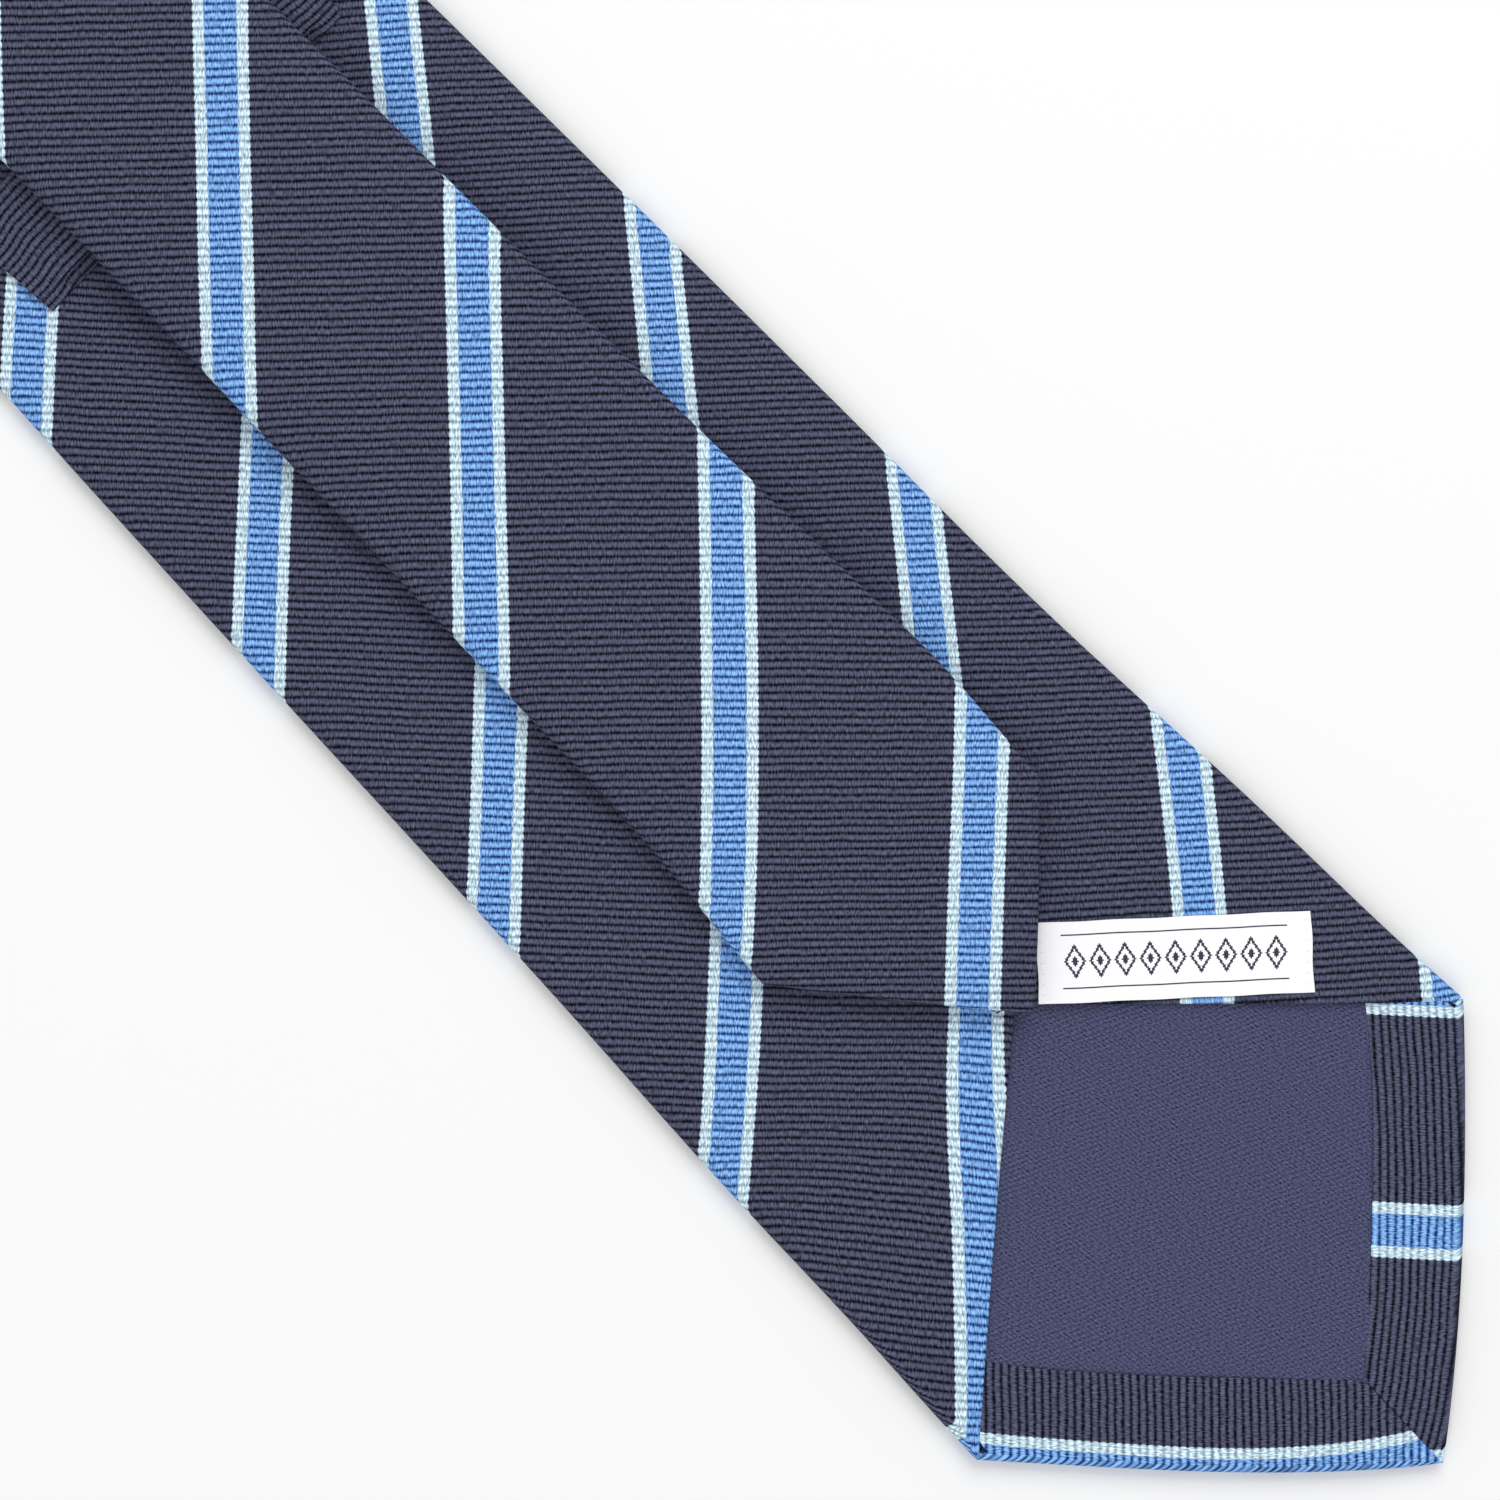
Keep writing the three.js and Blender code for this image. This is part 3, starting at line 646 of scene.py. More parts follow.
def tail_weave(end, flat, side, along, cloth_side, is_hem):
    """Flat cloth of the narrow end, which lies face up: its v runs the other way."""
    u = TAIL_TIP - WIDE_TIP - flat[:, 0] + slant(along) * cloth_side
    eased = ease((u - TAIL_EASE_AT) / TAIL_EASE_RUN)
    skew = TAIL_SKEW - TAIL_UNSKEW * ease((u - TAIL_SKEW_AT) / TAIL_SKEW_RUN)
    v = worn(along, flat[:, 1])
    u = u - TAIL_SHIFT + TAIL_EASE * eased + skew * v
    return np.stack([u, -v], -1)


# %% The four silk pieces
JOIN = 0.12 * MM
FOLD_EASE = 40 * MM
blade_rows = rows_behind(BLADE_END, BLADE_SEAM - JOIN, 100 * MM)
blade_silk = sheet_mesh("blade_silk", end_grids(BLADE_END, blade_rows, blade_weave), SILK)
tail_rows = rows_behind(TAIL_END, TIE_LENGTH - TAIL_SEAM - JOIN, 60 * MM)
tail_silk = sheet_mesh("tail_silk", end_grids(TAIL_END, tail_rows, tail_weave), SILK)


def fold_fall(along):
    """The falls change slowly round the fold, from the wide end's to the narrow end's."""
    return fall_at(ease((along - BLADE_RUN + FOLD_EASE) / (UPPER_START - BLADE_RUN + 2 * FOLD_EASE)))


def neck_grid(first, last):
    """The neck panel between two places along the tie, with close rows round the fold."""
    rows = list(np.arange(first + SPACING, min(last, BLADE_RUN) - 1 * MM, SPACING))
    rows += list(np.arange(UPPER_START + SPACING, last - 1 * MM, SPACING))
    rows += [*(first + BESIDE_SEAM), *(last - BESIDE_SEAM)]
    rows += list(BLADE_RUN + BEND * np.linspace(0, math.pi, 17))
    rows = np.unique(np.round([r for r in rows if first - NEAR <= r <= last + NEAR], 7))
    points, flats = [], []
    for s in rows:
        half = folded_half(float(half_width(s)), SLIT, LAYER, fold_fall(s))
        across, heights, cloth = (
            np.concatenate([values[::-1], sign * values[1:]]) for values, sign in zip(half, (-1, 1, -1))
        )
        spot, moved = place(np.full(len(across), s), float(side_step(s)) + across, heights, cloth)
        points.append(spot)
        flats.append(np.stack([-moved - NECK_SHIFT, cloth], -1))
    return [(np.array(points), np.array(flats))]


neck_silk_lower = sheet_mesh("neck_silk_lower", neck_grid(BLADE_SEAM + JOIN, FAR_POINT), SILK)
neck_silk_upper = sheet_mesh("neck_silk_upper", neck_grid(FAR_POINT, TAIL_SEAM - JOIN), SILK)

# %% [markdown]
# ## Wool inside
# The interlining is a felted strip a little over a millimetre thick, cut slightly narrower than the
# folded silk. It gives the tie its body. Only its shape and a felt surface matter, because the silk
# hides it, but it has to be there: it is what the flaps close over.

# %% Interlining
WOOL = 1.15 * MM
WOOL_INSET = 3.6 * MM
WOOL_HEIGHT = -LAYER + SILK / 2 + WOOL / 2 + 0.06 * MM
WOOL_COLUMNS = 25
WOOL_SPACING = 5 * MM
WOOL_START = 13 * MM
TAIL_WOOL_START = 9 * MM
LIFT_AT = 49.5 * MM
WOOL_CUT = UPPER_START + LIFT_AT - FOLD - 60 * MM


def wool_edges(along):
    """The strip's two edges, as y. Near a tip they keep inside the slanting edges."""
    end = TAIL_END if along > FAR_POINT else BLADE_END
    behind = end.behind(along)
    middle = float(end.middle(behind))
    return [middle + side * max(float(end.half(behind, side)) - WOOL_INSET, 0.3 * MM) for side in (1, -1)]


def wool_sheet(name, first, last):
    """The strip between two places along the tie. It falls away at the sides as the face under it does."""
    rows = list(np.arange(first, last, WOOL_SPACING)) + [last]
    rows += [s for s in BLADE_RUN + BEND * np.linspace(0, math.pi, 13) if first < s < last]
    rows = np.unique(np.round(rows, 7))
    points, flats = [], []
    for s in rows:
        across = np.linspace(*wool_edges(s), WOOL_COLUMNS)
        side = np.linspace(-1, 1, WOOL_COLUMNS) * (abs(across[0] - across[-1]) / 2 + WOOL_INSET)
        fall = pillow(abs(side), side[-1], fold_fall(s)[0], FACE_REACH)
        felt = 0.04 * MM * np.sin(across / (3.1 * MM) + s / (4.3 * MM))
        spot, moved = place(np.full(WOOL_COLUMNS, s), across, WOOL_HEIGHT + fall + felt, 0 * across)
        points.append(spot)
        flats.append(np.stack([-moved, across], -1))
    return sheet_mesh(name, [(np.array(points), np.array(flats))], WOOL)


wool_lower = wool_sheet("wool_lower", WOOL_START, FAR_POINT)
wool_upper = wool_sheet("wool_upper", FAR_POINT, WOOL_CUT)
wool_tail = wool_sheet("wool_tail", WOOL_CUT, TIE_LENGTH - TAIL_WOOL_START)

# %% [markdown]
# ## Satin linings
# A thin navy satin lines each pointed end. It is sewn to the inner edge of the hem, so its own edge
# tucks under the hem, and between the seams it stays a little full and puffs up. Fine drag lines run in
# from the seam, where the thread pulls.

# %% Linings
SATIN = 0.18 * MM
SATIN_HEIGHT = 0.36 * MM
SATIN_COLUMNS = 61
SATIN_SPACING = 1.7 * MM
SATIN_TUCK = 1.0 * MM
SATIN_INSET = 2.6 * MM
DRAG = 0.10 * MM
SWELL = 0.09 * MM


def lining(name, end, length, puff):
    """The lining of an end, from just inside the hems' inner corner to well under the flaps."""
    first = end.hem * 1.18
    rows = np.unique(np.concatenate([np.arange(first, length, SATIN_SPACING), [length]]))
    points, flats = [], []
    for behind in rows:
        left, right = (
            min(end.hem_inner(behind, side) + SATIN_TUCK, end.half(behind, side) - SATIN_INSET)
            for side in (1, -1)
        )
        c = np.linspace(1, -1, SATIN_COLUMNS)
        across = np.where(c > 0, c * left, c * right)
        open_part = ease((behind - first) / (9 * MM)) * ease((1 - abs(c)) / 0.16)
        away = np.minimum(left, right) * (1 - abs(c))
        drag = DRAG * np.sin(behind / (1.7 * MM) + across / (2.2 * MM)) * np.exp(-away / (5 * MM))
        swell = SWELL * np.sin(behind / (8.7 * MM) - across / (12 * MM)) + puff
        height = SATIN_HEIGHT + open_part * (swell + drag)
        along = np.full(SATIN_COLUMNS, end.along(behind))
        spot, _ = place(along, end.middle(behind) + across, height, 0 * across)
        points.append(spot)
        flats.append(np.stack([np.full(SATIN_COLUMNS, -behind), across], -1))
    return sheet_mesh(name, [(np.array(points), np.array(flats))], SATIN)


blade_lining = lining("blade_lining", BLADE_END, 118 * MM, 0.30 * MM)
tail_lining = lining("tail_lining", TAIL_END, 66 * MM, 0.18 * MM)

# %% [markdown]
# ## Keeper loop
# The keeper is a strip of the plain navy ground, folded into a flat tube with its ribs running along
# it. It is laid across the back and tacked down at both ends, slack enough to let the narrow end
# through. A tube is a closed row of points carried along the strip, pinched where it is sewn.

# %% Keeper
KEEPER_X = (keeper_low.x + keeper_high.x) / 2
KEEPER_BAND = keeper_high.x - keeper_low.x
KEEPER_SPAN = keeper_high.y - keeper_low.y
KEEPER_CLOTH = 0.30 * MM
KEEPER_THICK, KEEPER_PINCH = 1.0, 0.40
KEEPER_SLACK = 0.75 * MM
KEEPER_DROP, KEEPER_DROP_AT = 0.5 * MM, 39 * MM
KEEPER_SHIFT = 0.6 * MM
KEEPER_WAVE = 0.05 * MM
KEEPER_ROWS, TUBE_COLUMNS = 49, 14
TUBE_RIDGE = [(-2.05, 0.42), (-1.9, -0.1), (-1.5, -0.2), (-1.3, 0.15)]
TUBE_RIDGE += [(-0.8, 0.18), (-0.6, -0.2), (-0.1, -0.25)]


def keeper_section(thick):
    """The flat tube's outline, as (width, height). Its under layer stands out a little on the tip side."""
    half = KEEPER_BAND / 2 - thick / 2
    top = np.linspace(-half, half - 2.3 * MM, TUBE_COLUMNS)
    bottom = np.linspace(half, -half, TUBE_COLUMNS)
    turn = np.linspace(0, math.pi, 7)
    low_side = np.stack([-half - thick / 2 * np.sin(turn), -thick / 2 * np.cos(turn)], -1)
    ridge = np.array(TUBE_RIDGE) * [MM, thick] + [half, 0]
    flat_top = np.stack([top, np.full(TUBE_COLUMNS, thick / 2)], -1)
    flat_bottom = np.stack([bottom, np.full(TUBE_COLUMNS, -thick / 2)], -1)
    return np.concatenate([low_side, flat_top[1:], ridge, flat_bottom[:-1], low_side[:1]])


def keeper_row(t):
    """One ring of the tube, from one sewn end (-1) to the other (1), with its flat places."""
    sewn = ease((abs(t) - 0.80) / 0.12)
    thick = (KEEPER_THICK - KEEPER_PINCH * sewn) * MM
    outline = keeper_section(thick)
    slack = KEEPER_SLACK * (1 - ease((abs(t) - 0.35) / 0.45))
    drop = KEEPER_DROP * pillow(abs(t) * KEEPER_SPAN / 2, KEEPER_DROP_AT, 1, FLAP_REACH)
    rest = blade_high.z + thick / 2 + KEEPER_CLOTH / 2 - drop
    askew = (0.9 - 0.9 * t + 0.25 * math.sin(2.2 * t)) * MM
    x = KEEPER_X + askew + outline[:, 0] * (1 - 0.02 * sewn)
    y = t * KEEPER_SPAN / 2 + KEEPER_SHIFT * (1 - t) + 0.04 * (1 - t) * outline[:, 0]
    z = rest + slack + outline[:, 1] + KEEPER_WAVE * np.sin(9 * t + outline[:, 0] / (3 * MM))
    walk = np.concatenate([[0], np.cumsum(np.hypot(*np.diff(outline, axis=0).T))])
    return np.stack([x, y, z], -1)[::-1], np.stack([y, walk], -1)[::-1]


points, flats = zip(*[keeper_row(t) for t in np.linspace(-1, 1, KEEPER_ROWS)])
keeper_band = sheet_mesh("keeper_band", [(np.array(points), np.array(flats))], KEEPER_CLOTH)

# %% [markdown]
# ## Woven label
# The white label is a small stiff ribbon sewn on by its two short ends, beside the narrow end's tip.
# The real one carries a name. Here it carries only a row of woven lozenges between two fine lines.
# It lies flat just over the flap under it. The real one's right-hand end is cut and frays a little; this one
# is cut straight.

# %% Label
label_low, label_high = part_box("name_label")
LABEL_SLIP = 1.1 * MM
LABEL_AT = ((label_low.x + label_high.x) / 2, (label_low.y + label_high.y) / 2 - LABEL_SLIP)
LABEL_LONG, LABEL_WIDE = 37.2 * MM, 11 * MM
LABEL_TURN = math.radians(48.4)
LABEL_CLOTH = 0.16 * MM
turn_x, turn_y = math.cos(LABEL_TURN), math.sin(LABEL_TURN)


def label_points(u, v, lift):
    """Points over the label, u along it and v across, both from its middle."""
    x = LABEL_AT[0] + u * turn_x - v * turn_y
    y = LABEL_AT[1] + u * turn_y + v * turn_x
    return np.stack([x, y, np.zeros_like(x) + blade_high.z + lift], -1)


u, v = np.meshgrid(np.linspace(-0.5, 0.5, 61), np.linspace(-0.5, 0.5, 19), indexing="ij")
edge_wave = 0.04 * MM * np.sin(u * 23) * abs(v) * 2
u_place = u * LABEL_LONG * (1 + 0.004 * np.sin(v * 9))
v_place = v * LABEL_WIDE + edge_wave
sewn = ease((abs(u) - 0.44) / 0.05)
lift = 0.24 * MM + 0.10 * MM * (1 - sewn) * (1 + 0.4 * np.sin(u * 13 + v * 2))
label_flat = np.stack([u * LABEL_LONG, v * LABEL_WIDE], -1)
label = sheet_mesh("woven_label", [(label_points(u_place, v_place, lift), label_flat)], LABEL_CLOTH)

# %% [markdown]
# ## One stitch, used everywhere
# Every visible stitch is the same short length of thread: thick in the middle and diving into the cloth
# at both ends. It is modelled once, from a ring that is extruded outwards and narrowed, and then copied,
# each copy with its own mesh. Long tacking stitches, the tight bar tacks and the small stitches that
# hold the keeper and the label differ only in length, thickness and how closely they are set.

# %% The stitch
from mathutils import Matrix, Vector


def one_stitch(length, thickness, arch):
    """A length of thread along x, whose ends sink by the arch."""
    bpy.ops.object.select_all(action="DESELECT")
    bpy.ops.mesh.primitive_cylinder_add(
        vertices=8,
        radius=thickness / 2,
        depth=length * 0.3,
        end_fill_type="NOTHING",
        rotation=(0, math.pi / 2, 0),
    )
    stitch = bpy.context.object
    bpy.ops.object.transform_apply(location=False, rotation=True, scale=False)
    for way in (-1, 1):
        bpy.ops.object.mode_set(mode="EDIT")
        bpy.ops.mesh.select_mode(type="VERT")
        bpy.ops.mesh.select_all(action="DESELECT")
        work = bmesh.from_edit_mesh(stitch.data)
        for vert in work.verts:
            vert.select = way * vert.co.x > length * 0.1
        work.select_flush(True)
        bmesh.update_edit_mesh(stitch.data)
        for reach, shrink in ((0.18, 0.98), (0.12, 0.86), (0.05, 0.55)):
            bpy.ops.mesh.extrude_region_move(TRANSFORM_OT_translate={"value": (way * length * reach, 0, 0)})
            bpy.ops.transform.resize(value=(1, shrink, shrink))
        bpy.ops.mesh.edge_face_add()
        bpy.ops.object.mode_set(mode="OBJECT")
    for vert in stitch.data.vertices:
        vert.co.z -= arch * (2 * vert.co.x / length) ** 2
    bpy.ops.object.shade_smooth()
    return stitch


def sew(name, pattern, places):
    """Copies of a stitch at (point, turn, upside down) places, joined into one piece of thread."""
    copies = []
    for point, turned, flipped in places:
        copy = pattern.copy()
        copy.data = pattern.data.copy()
        roll = Matrix.Rotation(math.pi if flipped else 0, 4, "X")
        copy.data.transform(Matrix.Translation(Vector(point)) @ Matrix.Rotation(turned, 4, "Z") @ roll)
        bpy.context.collection.objects.link(copy)
        copies.append(copy)
    bpy.ops.object.select_all(action="DESELECT")
    for copy in copies:
        copy.select_set(True)
    bpy.context.view_layer.objects.active = copies[0]
    bpy.ops.object.join()
    thread = bpy.context.object
    thread.name = name
    thread.data.name = name
    bpy.data.objects.remove(pattern)
    print(name, len(copies), "stitches,", len(thread.data.polygons), "faces")
    return thread


# %% [markdown]
# ## Closing the back
# The flaps are closed by hand with one long slack thread, so the tie can stretch when it is knotted.
# Each pass crosses the slit on a slant. A bar tack, a thick bundle of stitches across the slit, guards
# the top of each V. The panels' seams are sewn by machine, so their stitches are small and even.

# %% Slip stitches
STITCH_STEP = 7 * MM
STITCH_SWING = 2.2 * MM
THREAD = 0.26 * MM


def thread_spot(along, across, height, cloth=0.0):
    """One point of the tie, for a stitch."""
    points, _ = place(*(np.array([float(value)]) for value in (along, across, height, cloth)))
    return points[0]


def slit_at(end, x):
    """Where the slit at the middle of the back passes this x: how far along the tie, and its y."""
    along = UPPER_START + x - FOLD if end.reverse else WIDE_TIP - x
    behind = end.behind(along)
    return along, end.middle(behind) + end.flap_edge(behind, 1) - SLIT


def slit_stitches(name, node, end):
    """The slack closing thread over the length of its CAD node."""
    low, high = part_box(node)
    places = []
    lean = math.atan2(STITCH_SWING, STITCH_STEP)
    for i, x in enumerate(np.arange(low.x + STITCH_STEP, high.x - STITCH_STEP / 2, STITCH_STEP)):
        spot = thread_spot(*slit_at(end, x), THICK / 2 + 0.06 * MM)
        places.append((spot, lean if i % 2 else -lean, end.reverse))
    pattern = one_stitch(math.hypot(STITCH_STEP, STITCH_SWING) * 1.02, THREAD, 0.10 * MM)
    return sew(name, pattern, places)


blade_slip = slit_stitches("blade_closing_thread", "blade_slip_stitch", BLADE_END)
tail_slip = slit_stitches("tail_closing_thread", "tail_slip_stitch", TAIL_END)
tail_end_slip = slit_stitches("tail_end_closing_thread", "tail_end_slip_stitch", TAIL_END)


# %% Bar tacks
def bar_tack(name, node, end):
    """Nine close stitches across the slit, none of them quite straight."""
    low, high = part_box(node)
    along, y = slit_at(end, (low.x + high.x) / 2)
    places = []
    for i in range(9):
        height = THICK / 2 + (0.12 + 0.05 * (i % 2)) * MM
        spot = thread_spot(along + (i - 4) * 0.18 * MM, y + 0.12 * MM * math.sin(i * 2.1), height)
        places.append((spot, math.pi / 2 + 0.03 * math.sin(i * 1.7), end.reverse))
    return sew(name, one_stitch(7 * MM, 0.3 * MM, 0.22 * MM), places)


blade_tack = bar_tack("blade_tack", "blade_bar_tack", BLADE_END)
tail_tack = bar_tack("tail_tack", "tail_bar_tack", TAIL_END)


# %% Seam threads
SEAM_STITCHES = 19


def seam_thread(name, seam):
    """Machine stitches down the dip of a panel seam, on the face."""
    side = float(half_width(seam))
    width = side - 2.2 * MM
    places = []
    for across in np.linspace(-1, 1, SEAM_STITCHES) * width:
        height = -LAYER + 0.02 * MM + pillow(abs(across), side, 0.35 * MM, 15 * MM)
        spot = thread_spot(seam, float(side_step(seam)) + across, height, across)
        places.append((spot, math.pi / 4, seam < FAR_POINT))
    gap = 2 * width * math.sqrt(2) / (SEAM_STITCHES - 1)
    return sew(name, one_stitch(gap * 0.8, 0.16 * MM, 0.08 * MM), places)


blade_seam = seam_thread("blade_seam_stitches", BLADE_SEAM)
tail_seam = seam_thread("tail_seam_stitches", TAIL_SEAM)

# %% [markdown]
# ## Tacks on the keeper and the label
# The keeper is caught down along both of its ends, and the label along its two short ends, with small
# overcast stitches in a thread that matches what it holds.


# %% Keeper and label stitches
def keeper_stitches(name, side):
    """Overcast stitches along one end of the keeper, which lies a little askew."""
    places = []
    for i in range(8):
        x = KEEPER_X + 0.9 * MM * (1 - side) + (i - 3.5) * 1.7 * MM
        y = side * (KEEPER_SPAN / 2 - 1.1 * MM) + KEEPER_SHIFT * (1 - side)
        places.append(((x, y, blade_high.z + 0.72 * MM), 0.35 * side, False))
    return sew(name, one_stitch(1.5 * MM, 0.2 * MM, 0.12 * MM), places)


keeper_left = keeper_stitches("keeper_tacking_left", 1)
keeper_right = keeper_stitches("keeper_tacking_right", -1)


def label_stitches(name, way):
    """Overcast stitches along one short end of the label."""
    places = []
    for i in range(7):
        u = np.array(way * (LABEL_LONG / 2 - 0.75 * MM))
        spot = label_points(u, np.array((i - 3) * 1.45 * MM), 0.30 * MM)
        places.append((spot, LABEL_TURN + 0.3 * way, False))
    return sew(name, one_stitch(1.1 * MM, 0.15 * MM, 0.12 * MM), places)


label_left = label_stitches("label_tacking_left", -1)
label_right = label_stitches("label_tacking_right", 1)

# %% [markdown]
# ## Recipes for finishes
# Each finish is a small network of nodes. A helper keeps the sums readable: it takes numbers or other
# results and gives back a new result. Colours are written as a dyer would match them, from 0 to 255 as
# seen, and changed to light here.

# %% Finish helper
def dye(red, green, blue, depth=1.0):
    """A colour as seen, changed to the amount of light that it sends back."""
    light = [(c / 255 / 12.92) if c <= 10 else ((c / 255 + 0.055) / 1.055) ** 2.4 for c in (red, green, blue)]
    return (*[min(c * depth, 1) for c in light], 1)


class Finish:
    """A material and the nodes that draw it."""

    def __init__(self, name, roughness, sheen=0.0, specular=0.5):
        self.material = bpy.data.materials.new(name)
        self.material.use_nodes = True
        self.tree = self.material.node_tree
        self.shader = self.tree.nodes["Principled BSDF"]
        self.shader.inputs["Roughness"].default_value = roughness
        self.shader.inputs["Specular IOR Level"].default_value = specular
        self.shader.inputs["Sheen Weight"].default_value = sheen
        self.shader.inputs["Sheen Roughness"].default_value = 0.4

    def put(self, socket, value):
        if isinstance(value, bpy.types.NodeSocket):
            self.tree.links.new(value, socket)
        else:
            socket.default_value = value

    def maths(self, operation, a, b=0.0, c=0.0, clamp=False):
        node = self.tree.nodes.new("ShaderNodeMath")
        node.operation = operation
        node.use_clamp = clamp
        for socket, value in zip(node.inputs, (a, b, c)):
            self.put(socket, value)
        return node.outputs[0]

    def times(self, a, b):
        return self.maths("MULTIPLY", a, b)

    def plus(self, a, b):
        return self.maths("ADD", a, b)

    def minus(self, a, b):
        return self.maths("SUBTRACT", a, b)

    def over(self, a, b):
        return self.maths("DIVIDE", a, b)

    def scaled(self, a, by, added, clamp=False):
        return self.maths("MULTIPLY_ADD", a, by, added, clamp)

    def size(self, a):
        return self.maths("ABSOLUTE", a)

    def wave(self, a):
        return self.maths("SINE", a)

    def part(self, a):
        """What is left after the whole turns are taken away."""
        return self.maths("FRACT", a)

    def below(self, a, limit):
        return self.maths("LESS_THAN", a, limit)

    def mix(self, share, a, b, blend="MIX"):
        node = self.tree.nodes.new("ShaderNodeMix")
        node.data_type = "RGBA"
        node.blend_type = blend
        self.put(node.inputs[0], share)
        self.put(node.inputs[6], a)
        self.put(node.inputs[7], b)
        return node.outputs[2]

    def shade(self, colour, amount):
        """The colour made lighter or darker by a plain number."""
        grey = self.tree.nodes.new("ShaderNodeCombineColor")
        for socket in grey.inputs[:3]:
            self.put(socket, amount)
        return self.mix(1.0, colour, grey.outputs[0], "MULTIPLY")

    def cloth(self):
        """u and v of the flat cloth, in metres."""
        source = self.tree.nodes.new("ShaderNodeUVMap")
        source.uv_map = "cloth"
        parts = self.tree.nodes.new("ShaderNodeSeparateXYZ")
        self.tree.links.new(source.outputs[0], parts.inputs[0])
        return parts.outputs[0], parts.outputs[1]

    def join(self, x, y):
        """A place for a noise, from two results."""
        node = self.tree.nodes.new("ShaderNodeCombineXYZ")
        self.put(node.inputs[0], x)
        self.put(node.inputs[1], y)
        return node.outputs[0]

    def noise(self, where, size, detail=2.0):
        """Soft noise from 0 to 1 whose lumps are about this size, in metres."""
        node = self.tree.nodes.new("ShaderNodeTexNoise")
        node.inputs["Scale"].default_value = 1 / size
        node.inputs["Detail"].default_value = detail
        self.put(node.inputs["Vector"], where)
        return node.outputs[0]

    def object_place(self):
        return self.tree.nodes.new("ShaderNodeTexCoord").outputs["Object"]

    def finish(self, colour, height=None, depth=0.1 * MM, strength=1.0):
        """Join the colour and the relief to the shader, and give back the material."""
        self.put(self.shader.inputs["Base Color"], colour)
        if height is not None:
            bump = self.tree.nodes.new("ShaderNodeBump")
            bump.inputs["Strength"].default_value = strength
            bump.inputs["Distance"].default_value = depth
            self.put(bump.inputs["Height"], height)
            self.tree.links.new(bump.outputs[0], self.shader.inputs["Normal"])
        return self.material


# %% [markdown]
# ## Ribbed silk
# The cloth is a rep: thick weft cords lie side by side, a little over a millimetre apart, and fine warp
# yarns cover them, so each cord shows as a rounded rib with a narrow dark groove beside it. The shade
# between the ribs and the light on their tops are painted into the colour as well as drawn by the relief.
# The stripes are dyed in the warp, so they cross the ribs at a right angle and their edges look scalloped.
# One pattern made from the flat cloth's own coordinates serves the face, the sides, the flaps and the hems.

# %% Rep weave
GRAIN = math.radians(43.2)
RIB = 1.08 * MM
YARN = 0.21 * MM
STRIPE_REPEAT = 33.12 * MM
STRIPE_AT = 1.13 * MM
BLUE_HALF = 2.2 * MM
PALE_HALF = 3.72 * MM
EDGE_BLUR = 0.10 * MM
# NAVY, BLUE and PALE are the stripe colours as they show on the lit top of a rib. The three groove colours
# below are painted shade: the dark that falls between the rounded ribs.
NAVY = dye(83, 86, 110)
BLUE = dye(132, 180, 240)
PALE = dye(212, 236, 245)
NAVY_GROOVE_SHADE = dye(4, 6, 18)
BLUE_GROOVE_SHADE = dye(14, 58, 120)
PALE_GROOVE_SHADE = dye(150, 172, 190)


def rep(finish, across_ribs, along_ribs):
    """The rounded rib and the yarns that cover it, both from 0 to 1."""
    lumps = finish.noise(finish.join(across_ribs, along_ribs), 9 * MM, 1.0)
    small = finish.noise(finish.join(across_ribs, finish.times(along_ribs, 0.4)), 1.3 * MM, 1.0)
    wander = finish.scaled(lumps, 0.4 * RIB, finish.times(small, 0.15 * RIB))
    rib = finish.part(finish.over(finish.plus(across_ribs, wander), RIB))
    centred = finish.scaled(rib, 2.0, -1.0)
    round_rib = finish.minus(1.0, finish.times(centred, centred))
    stretched = finish.join(finish.times(across_ribs, 0.28), along_ribs)
    yarns = finish.noise(stretched, YARN, 1.0)
    return round_rib, yarns


